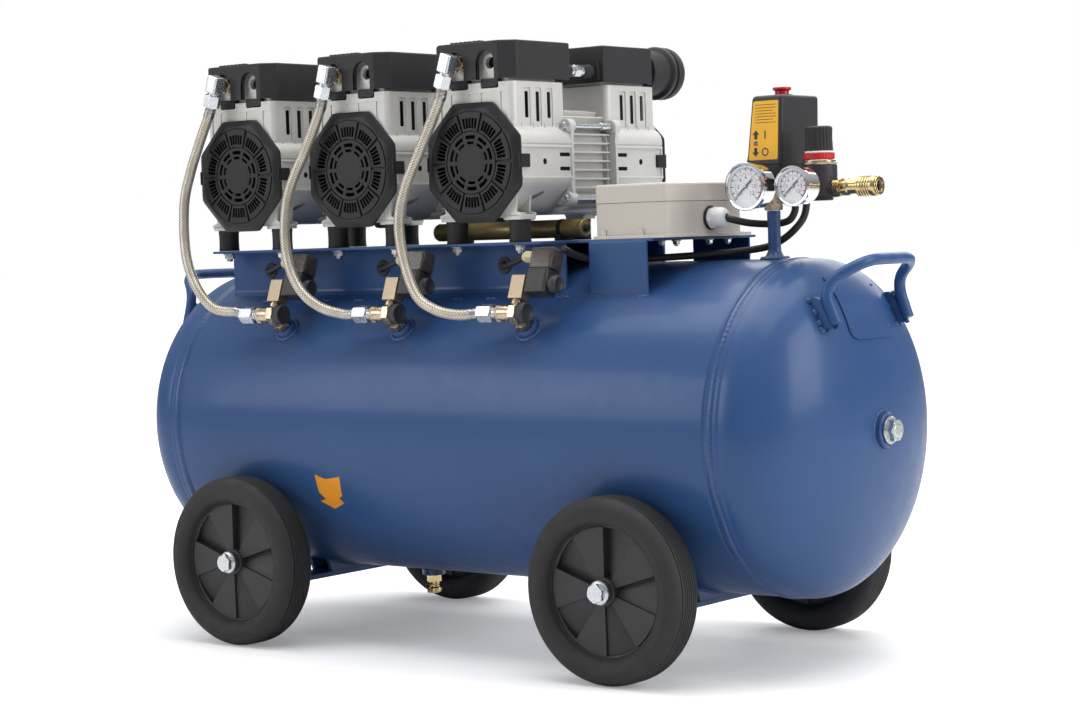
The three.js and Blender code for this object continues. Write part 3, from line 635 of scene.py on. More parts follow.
GOLD = material("gold_film", srgb(150, 128, 76), 0.34, 0.35, 0.12, 45, 0.1, 90, bump=0.35, bscale=120, bdist=0.0006, coat=0.5, coat_r=0.16)
YELLOW = material("label_yellow", srgb(236, 176, 34), 0.5, 0.0, 0.03, 60, 0.05, 200, bump=0.05, bscale=1500)
ORANGE = material("tag_orange", srgb(226, 146, 30), 0.45, 0.0, 0.04, 80, 0.05, 200, bump=0.05, bscale=1500)
INK = material("label_ink", srgb(24, 22, 22), 0.5, 0.0, 0.1, 80, 0.05, 200)
INK_RED = material("dial_red", srgb(176, 60, 62), 0.5, 0.0, 0.08, 80, 0.05, 200)
DIAL = material("dial_white", srgb(232, 234, 238), 0.45, 0.0, 0.02, 90, 0.04, 200, bump=0.03)
SWITCH = material("switch_plastic", srgb(48, 48, 50), 0.44, 0.0, 0.05, 26, 0.05, 160, bump=0.3, bscale=2100, bdist=0.00014, spec=0.35)
COIL = material("coil_plastic", srgb(42, 42, 44), 0.42, 0.0, 0.06, 40, 0.06, 200, bump=0.3, bscale=2000, bdist=0.00012)
# partly painted shade: black fan plastic, made darker still to stand in for the shade seen through the guard
FAN_AND_SHADE = material("fan_plastic_and_shade", srgb(20, 20, 21), 0.45, 0.0, 0.1, 60, bump=0.2, spec=0.35)
BEIGE_NUT = material("nylon_beige", srgb(196, 186, 150), 0.42, 0.0, 0.05, 80, 0.05, 200, bump=0.1, bscale=1500)


def clear_material(name, tint, alpha_lo, alpha_hi, rough=0.06):
    """Clear plastic or glass: see-through by alpha, which varies a little."""
    n = Nodes(name)
    b = n.bsdf
    n.link(n.ramp(n.noise(90, 2.0), [(0.3, scaled(tint, 0.92)), (0.7, tint)]), b.inputs["Base Color"])
    n.link(n.remap(n.noise(160, 2.0), rough * 0.7, rough * 1.4), b.inputs["Roughness"])
    n.link(n.remap(n.noise(45, 2.0), alpha_lo, alpha_hi), b.inputs["Alpha"])
    b.inputs["Specular IOR Level"].default_value = 0.6
    return n.mat


GLASS = clear_material("gauge_glass", srgb(240, 244, 248), 0.07, 0.12)
SMOKE = clear_material("smoke_plastic", srgb(74, 68, 62), 0.5, 0.66, 0.1)


def braid_material():
    n = Nodes("steel_braid")
    b = n.bsdf
    at = n.node("ShaderNodeAttribute", attribute_name="weave_shade")
    # painted shade and highlight: the per-vertex braid value turns the gaps dark and the wire crowns light
    base = n.ramp(at.outputs["Fac"], [(0.0, srgb(52, 47, 41)), (0.3, srgb(120, 112, 100)), (0.6, srgb(200, 194, 182)), (1.0, srgb(240, 236, 226))])
    tint = n.ramp(n.noise(60, 3.0), [(0.3, scaled(srgb(255, 248, 238), 0.86)), (0.7, srgb(255, 255, 255))])
    m = n.node("ShaderNodeMix", data_type="RGBA", blend_type="MULTIPLY")
    m.inputs["Factor"].default_value = 1.0
    n.link(base, m.inputs["A"])
    n.link(tint, m.inputs["B"])
    n.link(m.outputs["Result"], b.inputs["Base Color"])
    n.link(n.remap(n.noise(700, 2.0), 0.26, 0.42), b.inputs["Roughness"])
    b.inputs["Metallic"].default_value = 0.55
    n.link(n.bump(n.noise(2600, 1.0), 0.25, 0.0001), b.inputs["Normal"])
    return n.mat


BRAID = braid_material()
SLOT = {BLUE: "tank_blue", WELD: "tank_blue", CAST: "cast_aluminium", COVER: "black_plastic", GRILLE: "black_plastic", RUBBER: "tyre", FOOT: "tyre",
        RIM: "black_plastic", BEIGE: "box_beige", CHROME: "chrome", ZINC: "zinc", BRIGHT: "zinc", BRASS: "brass", NICKEL: "nickel_brass", SATIN: "nickel_brass",
        RED: "red_plastic", CABLE: "cable", GOLD: "film_gold", BRAID: "braid", SWITCH: "black_plastic", COIL: "black_plastic", LAMINATE: "rotor_steel", STEEL: "rotor_steel"}


def make(name, g, mats, body="chassis", **kw):
    first = mats[0] if isinstance(mats, (list, tuple)) else mats
    if "slot" not in kw and first in SLOT:
        kw["slot"] = SLOT[first]
    return piece(name, g, mats, body, **kw)


# ---------------------------------------------------------------------- tank
def head_x(r, grow=0.0):
    """Outside of the dished head at radius r from the tank axis."""
    R, D = TANK_R + grow, 86.0 + grow
    t = min(max(r / R, 0.0), 1.0)
    return 411.0 + D * (1 - t ** 2.16) ** (1 / 2.16)


def tank():
    right = [(TANK_R, 200), (TANK_R, 330), (TANK_R, 386.5), (TANK_R - 0.1, 388), (TANK_R - 0.9, 389.2), (TANK_R - 0.9, 390.2), (TANK_R, 391.4)]
    bead = [(TANK_R, 400.6)]
    step = [(TANK_R, 403), (TANK_R + 0.1, 406.2), (TANK_R - 0.35, 407.2), (TANK_R - 0.15, 408.6), (TANK_R, 411)]
    hd = []
    for k in range(1, 41):
        t = math.sin(math.pi / 2 * k / 40)
        r = TANK_R * (1 - t ** 2.16) ** (1 / 2.16) if k < 40 else 0.0
        hd.append((r, 411 + 86 * t))
    prof_r = right + bead + step + hd
    prof = [(r, -a) for r, a in reversed(prof_r)] + [(TANK_R, 0)] + prof_r
    ph = [rnd.uniform(0, TAU) for _ in range(6)]

    def rip(r, a, t):
        if 391 < abs(a) < 401:
            k = max(0.0, r - TANK_R)
            s = math.copysign(1, a)
            return r + k * (0.16 * math.sin(t * 210 + a * 0.9 + s) + 0.14 * math.sin(t * 37 + ph[0] * s) + 0.1 * math.sin(t * 11 + ph[1]))
        return r
    g = lathe((0, 0, TANK_Z), (1, 0, 0), prof, 384, fn=rip)
    make("tank_shell", g, BLUE, replaces=["tank"], angle=60, weighted=False)
    for s, nm in ((1, "right"), (-1, "left")):
        n, m = 560, 7
        V, F = [], []
        for k in range(n):
            t = k * TAU / n
            st = abs(math.sin(t * 93 + 0.6 * math.sin(t * 9 + ph[2])))
            wob = 0.5 * math.sin(t * 6 + ph[3]) + 0.3 * math.sin(t * 17 + ph[4])
            for j in range(m):
                a = math.pi * j / (m - 1)
                w = 4.2 * (0.9 + 0.16 * st)
                V.append((s * (396 + wob - w * math.cos(a) + 0.9 * st * math.sin(a)), (TANK_R - 0.5 + (1.3 + 0.75 * st) * math.sin(a)) * math.cos(t), TANK_Z + (TANK_R - 0.5 + (1.3 + 0.75 * st) * math.sin(a)) * math.sin(t)))
        for k in range(n):
            k2 = (k + 1) % n
            for j in range(m):
                j2 = (j + 1) % m
                F.append((k * m + j, k2 * m + j, k2 * m + j2, k * m + j2))
        make("tank_bead_" + nm, Geo().add(V, F), WELD, angle=70, weighted=False)
    # lengthwise seam, low at the back
    th = math.radians(-62)
    c, s = math.cos(th), math.sin(th)
    seam = weld_line([(x, c * TANK_R, TANK_Z + s * TANK_R) for x in range(-388, 389, 8)], 3.6, 1.3, (0, c, s), seed=3)
    make("tank_long_seam", seam, WELD)
    for i, cx in enumerate(UNIT_X):
        d = Vector((0, -168, 134.5)).normalized()
        x = cx + 75.5
        P = lambda r: Vector((x, 0, TANK_Z)) + d * r
        g = lathe(P(0), d, [(12.2, 180), (13.2, 186.5), (12.6, 187.6), (12.4, 191.4), (11.6, 193), (8.2, 193), (8.2, 189), (0, 189)], 40)
        g.join(weld_ring(P(185.2), d, 14.2, 2.6, 2.2, seed=i, n=80))
        make(f"valve_boss_{i + 1}", g, WELD)
    g = lathe((365, 0, 0), (0, 0, 1), [(12.5, 441), (13.6, 445), (9.6, 449), (7.4, 453.5), (7.0, 456), (7.0, 486), (7.4, 487), (7.4, 496.6), (6.9, 497.6), (0, 497.6)], 40)
    g.join(weld_ring((365, 0, 445.2), (0, 0, 1), 13.5, 2.8, 2.4, seed=9, n=84))
    make("outlet_riser", g, WELD)
    g = lathe((0, 0, TANK_Z), (1, 0, 0), [(19, 486), (19, 501.6), (17.8, 503), (10.0, 503), (9.4, 502.2), (9.4, 497), (0, 497)], 48)
    g.join(weld_ring((494.6, 0, TANK_Z), (1, 0, 0), 20, 3.4, 3.0, seed=12, n=96))
    make("end_boss", g, WELD)
    g = lathe((-145, 0, 0), (0, 0, 1), [(14, 78), (14, 67), (13, 66), (5, 66), (4.5, 66.6), (4.5, 74), (0, 74)], 36)
    g.join(weld_ring((-145, 0, 75.6), (0, 0, -1), 14.6, 2.4, 2.2, seed=14, n=72))
    make("drain_boss", g, WELD)
    # inspection plug
    g = lathe((0, 0, TANK_Z), (1, 0, 0), [(8.4, 497.5), (8.4, 503.2), (14.2, 503.3), (15, 503.9), (15, 505.4), (14.4, 506), (0, 506)], 40)
    g.join(hexa((505.6, 0, TANK_Z), (513.6, 0, TANK_Z), 12.7, ch=1.4, both=False))
    g.join(lathe((0, 0, TANK_Z), (1, 0, 0), [(7.5, 512.9), (7.5, 513.4), (6.8, 513.9), (6.0, 513.9), (5.6, 513.55), (0, 513.5)], 32))
    make("plug_hex", g, ZINC, replaces=["inspection_plug"])
    # data plate that follows the head
    nu, nv = 30, 26
    rows_o, rows_i = [], []
    for j in range(nv + 1):
        z = 358 + (425 - 358) * j / nv
        k = min(1.0, (z - 358) / 12)
        half = 43 - 11 * (1 - math.sqrt(max(0.0, 1 - (1 - k) ** 2)))
        ro, ri = [], []
        for i in range(nu + 1):
            y = 2 + half * (2 * i / nu - 1)
            r = math.hypot(y, z - TANK_Z)
            ro.append(Vector((head_x(r, 1.7), y, z)))
            ri.append(Vector((head_x(r, 0.7), y, z)))
        rows_o.append(ro)
        rows_i.append(ri)
    rows = [ro + list(reversed(ri)) for ro, ri in zip(rows_o, rows_i)]
    g = loft(rows)
    make("data_plate", g, BLUE, angle=45, weighted=False)
    g = Geo()
    for y, z in ((-36.5, 371), (-38, 414), (40.5, 371), (42, 414)):
        r = math.hypot(y, z - TANK_Z)
        x = head_x(r, 1.5)
        n = Vector((0.6, y / 185, (z - TANK_Z) / 185)).normalized()
        g.join(lathe((x, y, z), n, [(2.4, -1.2), (2.4, 0.3), (1.9, 0.9), (1.0, 1.3), (0, 1.45)], 18))
    make("plate_rivets", g, WELD)
    # plain tag low on the hose side: a notched shield over an arrow foot
    shape = [(-172, 206), (-157.3, 200.8), (-133, 204.5), (-138.3, 180.5), (-144.5, 178.2), (-139.5, 171.5), (-158.5, 164), (-176.6, 173), (-166.5, 176), (-173.5, 184)]
    tri = tessellate_polygon([[Vector((p[0], p[1], 0)) for p in shape]])
    # cut into strips so it follows the shell
    bm = bmesh.new()
    vs_ = [bm.verts.new((p[0], 0, p[1])) for p in shape]
    for t in tri:
        bm.faces.new([vs_[i] for i in t])
    for k in range(1, 14):
        bmesh.ops.bisect_plane(bm, geom=bm.verts[:] + bm.edges[:] + bm.faces[:], plane_co=(0, 0, 159 + k * 3.7), plane_no=(0, 0, 1))
    bm.verts.ensure_lookup_table()
    bm.verts.index_update()
    V, F = [], []
    n_ = len(bm.verts)
    for lift in (0.45, -0.3):
        for v in bm.verts:
            z = v.co.z
            y = -math.sqrt(TANK_R ** 2 - (z - TANK_Z) ** 2)
            nn = Vector((0, y, z - TANK_Z)).normalized()
            q = Vector((v.co.x, y, z)) + nn * lift
            V.append(tuple(q))
    for f in bm.faces:
        idx = [v.index for v in f.verts]
        F.append(tuple(idx))
        F.append(tuple(n_ + i for i in reversed(idx)))
    for e in bm.edges:
        if len(e.link_faces) == 1:
            i, j = e.verts[0].index, e.verts[1].index
            F.append((i, j, n_ + j, n_ + i))
    bm.free()
    make("plain_tag", Geo().add(V, F), ORANGE, weighted=False, angle=50)


tank()


# ------------------------------------------------------------------- handles
def handles():
    P = [[486, 75, 378], [470, 77.8, 413], [473, 76, 421], [505, 54, 440.5], [510.5, 46, 442.5], [510.8, 0, 442.8],
         [510.5, -46, 442.5], [505, -54, 440.5], [473, -76, 421], [470, -77.8, 413], [486, -75, 378]]
    HANDLE = [[486.5, 75, 377], [471.5, 77.2, 417], [509.3, 51, 442.6], [510.6, 0, 442.9], [509.3, -51, 442.6], [471.5, -77.2, 417], [486.5, -75, 377]]
    for s, name in ((1, "right"), (-1, "left")):
        path, _ = even(rounded([(s * x, y, z) for x, y, z in HANDLE], 24.0), 1.6)
        g = tube(path, 6.3, 24, dome=0.9)
        make(f"handle_{name}_rod", g, BLUE, replaces=[f"handle_{name}"], angle=60, weighted=False)
        g = Geo()
        for y in (75.5, -75.5):
            o = [(s * x, z) for x, z in ((470, 402), (463, 405.5), (453, 404), (449, 397), (461, 371.5), (484, 371.5))]
            g.join(beveled(prism("y", o, y - 3.6, y + 3.6), 1.2, 2))
        make(f"handle_{name}_lugs", g, BLUE)
        g = Geo()
        for y in (75.5, -75.5):
            sg = 1 if y > 0 else -1
            for k, (x, z) in enumerate(((452, 401.5), (459, 389), (464, 378.5), (469, 371))):
                rr = math.hypot(y, z - TANK_Z)
                xx = head_x(rr, 0.2)
                g.join(blob((s * xx, y - sg * 5.0, z), 3.6 + 0.6 * (k % 2), (s * 0.8, -sg * 0.4, 0.4), 0.55, seed=k + 7))
                g.join(blob((s * (xx - 0.6), y + sg * 5.2, z), 3.2 + 0.5 * (k % 2), (s * 0.7, sg * 0.5, 0.3), 0.5, seed=k + 17))
            g.join(blob((s * 470.5, y - sg * 3, 403.5), 3.6, (0, -sg, 0.4), 0.6, seed=31))
            g.join(blob((s * 485.2, y - sg * 2, 373.5), 3.4, (0, -sg, -0.4), 0.6, seed=33))
        make(f"handle_{name}_welds", g, WELD)


handles()


# ------------------------------------------------------------ axles and wheels
def axles():
    for s, name in ((1, "right"), (-1, "left")):
        cx = s * 277.0
        out = [(-174.4, 64), (174.4, 64), (174.4, 115), (167.4, 115), (167.4, 79), (165.6, 74.5), (161, 71), (-161, 71), (-165.6, 74.5), (-167.4, 79), (-167.4, 115), (-174.4, 115)]
        g = beveled(prism("x", out, cx - 17, cx + 17), 1.6, 3)
        for t in (-14.5, 14.5):
            g.join(beveled(prism("x", [(-60, 70), (60, 70), (70, 98)] + [(185 * math.sin(a), 260 - 185 * math.cos(a) - 0.2) for a in (math.radians(d) for d in (20, 15, 10, 5, 0, -5, -10, -15, -20))] + [(-70, 98)], cx + t - 2.5, cx + t + 2.5), 0.6, 2))
        make(f"axle_bar_{name}", g, BLUE, replaces=[f"axle_bracket_{name}"])
        g = Geo()
        for t in (-17.6, 17.6):
            pts = [(cx + t, 185 * math.sin(a), 260 - 185.3 * math.cos(a)) for a in (math.radians(d) for d in range(-20, 21, 2))]
            g.join(weld_line(pts, 2.4, 2.0, (math.copysign(0.7, t), 0, -0.7), seed=int(cx) + int(t)))
        make(f"axle_welds_{name}", g, WELD)
        for q, side in ((-1, "front"), (1, "rear")):
            g = Geo()
            g.join(rod((cx, q * 166, 101), (cx, q * 222.5, 101), 7.0, 32, ch=0.6))
            g.join(lathe((cx, q * 221.6, 101), (0, q, 0), [(7.0, 0.1), (12.6, 0.1), (13, 0.5), (13, 1.7), (12.5, 2.1), (7, 2.1), (7, 0.1)], 40))
            g.join(lathe((cx, q * 223.5, 101), (0, q, 0), [(0, 0), (12.0, 0), (12.4, 0.5), (11.4, 1.2), (10.2, 1.6), (0, 1.6)], 40))
            g.join(hexa((cx, q * 224.6, 101), (cx, q * 230.7, 101), 10.9, ch=1.5, both=False, phase=0.35))
            g.join(hexa((cx, q * 157.5, 101), (cx, q * 166.4, 101), 11.5, ch=1.2, phase=0.1))
            make(f"axle_bolt_{side}_{name}", g, BRIGHT)


axles()


def wheel_tyre():
    P = [(71.2, -13.2), (71.6, -15.6), (72.6, -18.2), (74.4, -20.6), (77, -22.6), (80.4, -24.1), (84, -24.8), (87.2, -24.9), (88.0, -24.4), (88.9, -24.4),
         (91.6, -23.8), (94.6, -22.2), (97.2, -19.8), (99.2, -16.8), (100.3, -13.8)]
    tread = [(100.6, -13.1), (100.5, -12.4), (99.3, -12.2), (99.3, -11.2), (100.6, -11.0)]
    for c in (-7.3, -3.5, 0.0, 3.5, 7.3):
        tread += [(101, c - 1.3), (101, c - 0.75), (100.1, c - 0.45), (100.1, c + 0.45), (101, c + 0.75), (101, c + 1.3)]
    tread += [(100.6, 11.0), (99.3, 11.2), (99.3, 12.2), (100.5, 12.4), (100.6, 13.1)]
    P = P + tread + [(r, -a) for r, a in reversed(P)]
    P += [(70.2, 12.4), (70.2, -12.4), P[0]]
    return lathe((0, 0, 0), (0, 1, 0), P, 128)


def wheel_rim():
    """Five flush blades with five sloping pockets between them, a hub ring and a bead seat; the same inside and out."""
    def both(prof):
        return prof + [(r, -a) for r, a in reversed(prof)]
    P = both([(7.4, 18.4), (8.0, 19.0), (11.4, 19.0), (12.0, 18.4), (12.2, 15.6), (14.6, 15.2), (15.2, 14.4), (15.4, 2.4), (68.2, 2.4), (68.2, 9.8), (68.8, 10.6), (70.2, 11.0), (70.8, 11.6)])
    g = lathe((0, 0, 0), (0, 1, 0), P + [P[0]], 96)
    half = math.radians(18.5)

    def sec(r0, r1, a0, a1, n=8):
        out = [(r1 * math.cos(a0 + (a1 - a0) * k / n), r1 * math.sin(a0 + (a1 - a0) * k / n)) for k in range(n + 1)]
        return out + [(r0 * math.cos(a1 + (a0 - a1) * k / n), r0 * math.sin(a1 + (a0 - a1) * k / n)) for k in range(n + 1)]
    for k in range(5):
        c = math.pi - k * TAU / 5
        g.join(beveled(prism("y", sec(13.6, 68.9, c - half, c + half), -12.4, 12.4), 0.5, 2, 40))
        a0, a1 = c + half - 0.01, c + TAU / 5 - half + 0.01
        n = 8
        V, F = [], []
        for j in range(n + 1):
            t = a0 + (a1 - a0) * j / n
            h = 9.2 - 6.2 * j / n
            for r in (15.0, 68.5):
                for y in (h, -h):
                    V.append((r * math.cos(t), y, r * math.sin(t)))
        for j in range(n):
            q = j * 4
            F += [(q, q + 2, q + 6, q + 4), (q + 1, q + 5, q + 7, q + 3), (q, q + 4, q + 5, q + 1), (q + 2, q + 3, q + 7, q + 6)]
        F += [(0, 1, 3, 2), (n * 4, n * 4 + 2, n * 4 + 3, n * 4 + 1)]
        g.add(V, F)
    return g


TYRE_G, RIM_G = wheel_tyre(), wheel_rim()
for wname, sx, sy in (("wheel_front_left", -1, -1), ("wheel_front_right", 1, -1), ("wheel_rear_left", -1, 1), ("wheel_rear_right", 1, 1)):
    c = (sx * 277.0, sy * 200.4, 101.0)
    make(wname + "_tyre", TYRE_G.move(*c), RUBBER, wname, replaces=[wname], angle=42, weighted=False)
    make(wname + "_rim", RIM_G.move(*c), RIM, wname, angle=30)


# ------------------------------------------------------------------ drain cock
def drain():
    g = hexa((-145, 0, 57), (-145, 0, 65.7), 9, ch=1.0)
    g.join(lathe((-145, 0, 0), (0, 0, 1), [(0, 50.3), (5.4, 50.3), (6, 51), (6, 52.5), (5.4, 53), (5.4, 54), (6, 54.5), (6, 57.5), (0, 57.5)], 32))
    g.join(rod((-145, 0, 65), (-145, 0, 74), 4.2, 24))
    g.join(lathe((-145, 0, 53), (0, -1, 0), [(3, 0), (3, 9), (3.5, 9.6), (3.5, 11.2), (3.1, 12), (1.8, 12), (1.6, 6), (0, 6)], 24))
    make("drain_cock_brass", g, BRASS, replaces=["drain_cock_body"])
    g = lathe((-145, 0, 0), (0, 0, 1), [(0, 43.5), (6.4, 43.5), (7, 44.2), (7, 49.3), (6.4, 50), (2.5, 50), (0, 50)], 32, fn=lambda r, a, t: r * (1 + (0.03 * math.cos(16 * t) if r > 6.9 else 0)))
    g.join(tube([(-145, -11 + k * 22 / 20, 46.5) for k in range(21)], 2.4, 16, fn=lambda i, t, s: 1.7 + 0.7 * abs(s - 11) / 11, dome=1.2))
    make("drain_wing_knob", g, BRASS, "drain_knob", replaces=["drain_knob"])


drain()


# ------------------------------------------------------------------ motor deck
def bolt_nut(x, y, z, d, r=6.2, h=5.0, washer=8.0, stud=4.0, tail=5.0, phase=0.3):
    """A washer, nut and stud end pointing along d from point (x, y, z)."""
    d = Vector(d).normalized()
    P = Vector((x, y, z))
    g = lathe(P, d, [(0, 0), (washer - 0.4, 0), (washer, 0.3), (washer, 1.2), (washer - 0.4, 1.5), (0, 1.5)], 28)
    g.join(hexa(P + d * 1.5, P + d * (1.5 + h), r, ch=0.9, phase=phase))
    if tail:
        g.join(lathe(P, d, [(0, 1), (stud, 1), (stud, 1 + h + tail - 1), (stud - 0.8, 1 + h + tail), (0, 1 + h + tail)], 20))
    return g


def deck():
    x0, x1 = -375.0, 150.0
    # folded sheet: top, two webs with holes for the leads, two bent feet
    g = Geo()
    top = prism("z", rrect(x0, x1, -134, 134, 4, 4), 469, 472)
    g.join(beveled(top, 0.7, 2))
    holes = [circle(8, 28, cx + 6, 446) for cx in UNIT_X]
    for s in (-1, 1):
        hs = holes if s < 0 else []
        y0, y1 = sorted((s * 94.0, s * 97.0))
        g.join(beveled(prism("y", [(x0, 421), (x1, 421), (x1, 470), (x0, 470)], y0, y1, hs), 0.5, 2, 40))
        # inner bend radius
        arc = [(s * (97 - 3 + 3 * math.sin(a)), 469.5 - 3 + 3 * math.cos(a)) for a in (math.radians(t) for t in range(0, 91, 15))]
        foot = [(s * 97.0, 423), (s * 97.6, 419.5), (s * 108, 404), (s * 106.8, 401), (s * 104.6, 402), (s * 95, 418.4), (s * 94, 422)]
        if s > 0:
            foot = list(reversed(foot))
        g.join(beveled(prism("x", foot, x0, x1), 0.5, 2, 20))
    make("deck_sheet", g, BLUE, replaces=["motor_deck"])
    g = Geo()
    for s in (-1, 1):
        for k, xc in enumerate(range(-366, 145, 51)):
            y = s * 108.6
            z = TANK_Z + math.sqrt(TANK_R ** 2 - y ** 2)
            n = Vector((0, y, z - TANK_Z)).normalized()
            g.join(weld_line([(xc, y, z - 0.6), (xc + 9, y, z - 0.6), (xc + 18, y, z - 0.6)], 2.8, 2.2, n, seed=k + 50))
    make("deck_welds", g, WELD)
    for i, cx in enumerate(UNIT_X):
        g = Geo()
        for q in (-1, 1):
            for sx in (-1, 1):
                g.join(bolt_nut(cx + 46 * sx, q * 117, 469, (0, 0, -1), 6.2, 5, 8, 3.8, 4, phase=0.4 * sx))
        make(f"foot_nuts_{i + 1}", g, ZINC)
        # rubber grommet in the web hole
        g = lathe((cx + 6, -92.8, 446), (0, -1, 0), [(4.2, 0), (9.6, 0), (9.8, 0.6), (9.6, 1.1), (8, 1.2), (8, 4.2), (9.6, 4.3), (9.8, 4.9), (9.4, 5.6), (5, 5.8), (4.2, 5.2), (4.2, 0)], 28)
        make(f"lead_grommet_{i + 1}", g, FOOT)


deck()


# ----------------------------------------------------- bracket and control box
def control():
    g = beveled(prism("z", rrect(175, 280, -109, 95, 3, 4), 469, 472), 0.7, 2)
    for y, s in ((-110.0, -1), (95.0, 1)):
        t = 3.0
        out = [(y, 468), (y, 424), (y - s * 3, 398), (y - s * 6.1, 398), (y - s * 3, 424), (y - s * t, 468)]
        # rounded bend at the top edge
        bend = [(y - s * 4 + s * 4 * math.cos(a), 468 + 4 * math.sin(a)) for a in (math.radians(d) for d in (0, 20, 40, 60, 90))]
        o = bend + [(y - s * 4, 469), (y - s * 3, 468), (y - s * 3, 424), (y - s * 6.1, 398), (y - s * 3, 398), (y, 424)]
        if s < 0:
            o = list(reversed(o))
        g.join(beveled(prism("x", o, 193, 271), 0.5, 2, 50))
    make("bracket_sheet", g, BLUE, replaces=["box_bracket"])
    g = Geo()
    for y, s in ((-110.0, -1), (95.0, 1)):
        yb = y - s * 2.0
        z = TANK_Z + math.sqrt(TANK_R ** 2 - yb ** 2)
        for a, b in ((192, 206), (255, 272)):
            g.join(weld_line([(a, yb + s * 1.0, z - 0.8), ((a + b) / 2, yb + s * 1.0, z - 0.8), (b, yb + s * 1.0, z - 0.8)], 3.0, 2.4, (0, s * 0.75, 0.65), seed=int(a)))
    make("bracket_welds", g, WELD)
    g = Geo()
    for x, y in ((262, 25), (262, 62), (262, -40), (185, -60), (185, 40)):
        g.join(bolt_nut(x, y, 469, (0, 0, -1), 4.2, 3.2, 5.4, 2.4, 2.6))
    make("bracket_screws", g, ZINC)
    # box: base with flange, lid with a sealed joint
    base = rbox(200, 295, -105, 41, 473.3, 511, 3.5, 0, 0.6)
    flange = rbox(197, 297, -108, 60, 472.3, 475.8, 3, 0.8, 0)
    base = csg(base, add=[flange], cut=[rbox(203, 292, -102, 38, 476.5, 512, 2.5), rod((290, -21.3, 492.3), (299, -21.3, 492.3), 9.2, 28)])
    for x in (211, 262):
        base.join(rbox(x - 3.6, x + 3.6, -107.0, -104.5, 475.6, 483, 0.8, 0.5))
    make("box_base_shell", base, BEIGE, replaces=["control_box_base"], angle=30)
    g = Geo()
    for x in (211, 262):
        g.join(rbox(x - 1.0, x + 1.0, -107.35, -106.8, 477.5, 482, 0.3, 0.2))
    for x, y in ((208, 52), (286, 52)):
        g.join(lathe((x, y, 475.8), (0, 0, 1), [(0, -1), (4.2, -1), (4.2, 0.6), (3.4, 1.8), (1.8, 2.4), (0, 2.5)], 24))
    make("box_fixings", g, ZINC)
    seal = csg(rbox(200.6, 294.4, -104.4, 40.4, 509.8, 511.9, 3.4), cut=[rbox(204, 291, -101, 37, 509, 513, 2.5)])
    make("box_seal", seal, SEAL)
    lid = csg(rbox(199.6, 295.4, -105.4, 41.4, 511.5, 532, 3.8, 3.0, 0.5), cut=[rbox(203, 292, -102, 38, 510, 528.5, 2.5)])
    make("box_lid_shell", lid, BEIGE, replaces=["control_box_lid"], angle=30)
    g = Geo()
    for x in (208.5, 286.5):
        for y in (-96.5, 32.5):
            g.join(lathe((x, y, 531.2), (0, 0, 1), [(0, -1), (4.0, -1), (4.0, 0.75), (3.6, 1.0), (2.2, 1.0), (2.0, 0.4), (0, 0.4)], 24))
    make("lid_screws", g, BEIGE)
    # gland and the two cables
    g = hexa((297.6, -21.3, 492.3), (303.5, -21.3, 492.3), 12.5, ch=0.8, phase=0.2)
    g.join(lathe((0, -21.3, 492.3), (1, 0, 0), [(0, 303), (11, 303), (11.2, 304), (11.2, 310), (10.8, 312.5), (9.6, 315), (7.8, 317), (5.4, 318), (4.1, 318), (4.1, 314), (0, 314)], 48,
                 fn=lambda r, a, t: r * (1 + (0.022 * abs(math.sin(5 * t)) if 303 < a < 313 and r > 10 else 0))))
    make("cable_gland", g, WHITE, replaces=["cable_box_to_switch"])
    g = lathe((0, -21.3, 492.3), (1, 0, 0), [(8.6, 295.1), (12.9, 295.1), (13.4, 295.6), (13.4, 297.2), (12.9, 297.7), (8.6, 297.7), (8.6, 295.1)], 40)
    make("gland_washer", g, FOOT)
    A = [[314, -21.3, 492.2], [325, -18, 489], [337, -7, 485.2], [349, 7, 483.5], [361, 16, 483.5], [373, 19.5, 487], [378.5, 21.5, 496], [379.5, 22, 506], [379.5, 22, 520]]
    path, la = even(catmull(A, 16), 2.0)
    make("cable_a", tube(path, 4, 20), CABLE, weighted=False, angle=60)
    B = [[384.5, 37, 520], [384.5, 36.5, 503], [383, 32, 489], [377, 24, 477], [365, 19, 466.5], [349, 15, 459], [328, 8, 455.3], [300, -9, 452.5],
         [262, -30, 450.5], [232, -52, 449.5], [206, -78, 449.5], [187, -98, 451], [180, -118, 456], [178.8, -137, 463.5]]
    path, lb = even(catmull(B, 16), 2.0)
    make("cable_b", tube(path, 4, 20, dome=1.5), CABLE, replaces=["cable_switch_to_valve"], weighted=False, angle=60)


control()


# --------------------------------------------- manifold, gauges, switch, outlet
def text_geo(body, size, place):
    cu = bpy.data.curves.new("t", "FONT")
    cu.body, cu.size, cu.align_x, cu.align_y, cu.resolution_u = body, size * MM, "CENTER", "CENTER", 3
    cu.extrude = 0.06 * MM
    ob = bpy.data.objects.new("t", cu)
    bpy.context.scene.collection.objects.link(ob)
    me = bake_mesh(ob)
    g = geo_of(me)
    bpy.data.objects.remove(ob)
    return g.map(place)


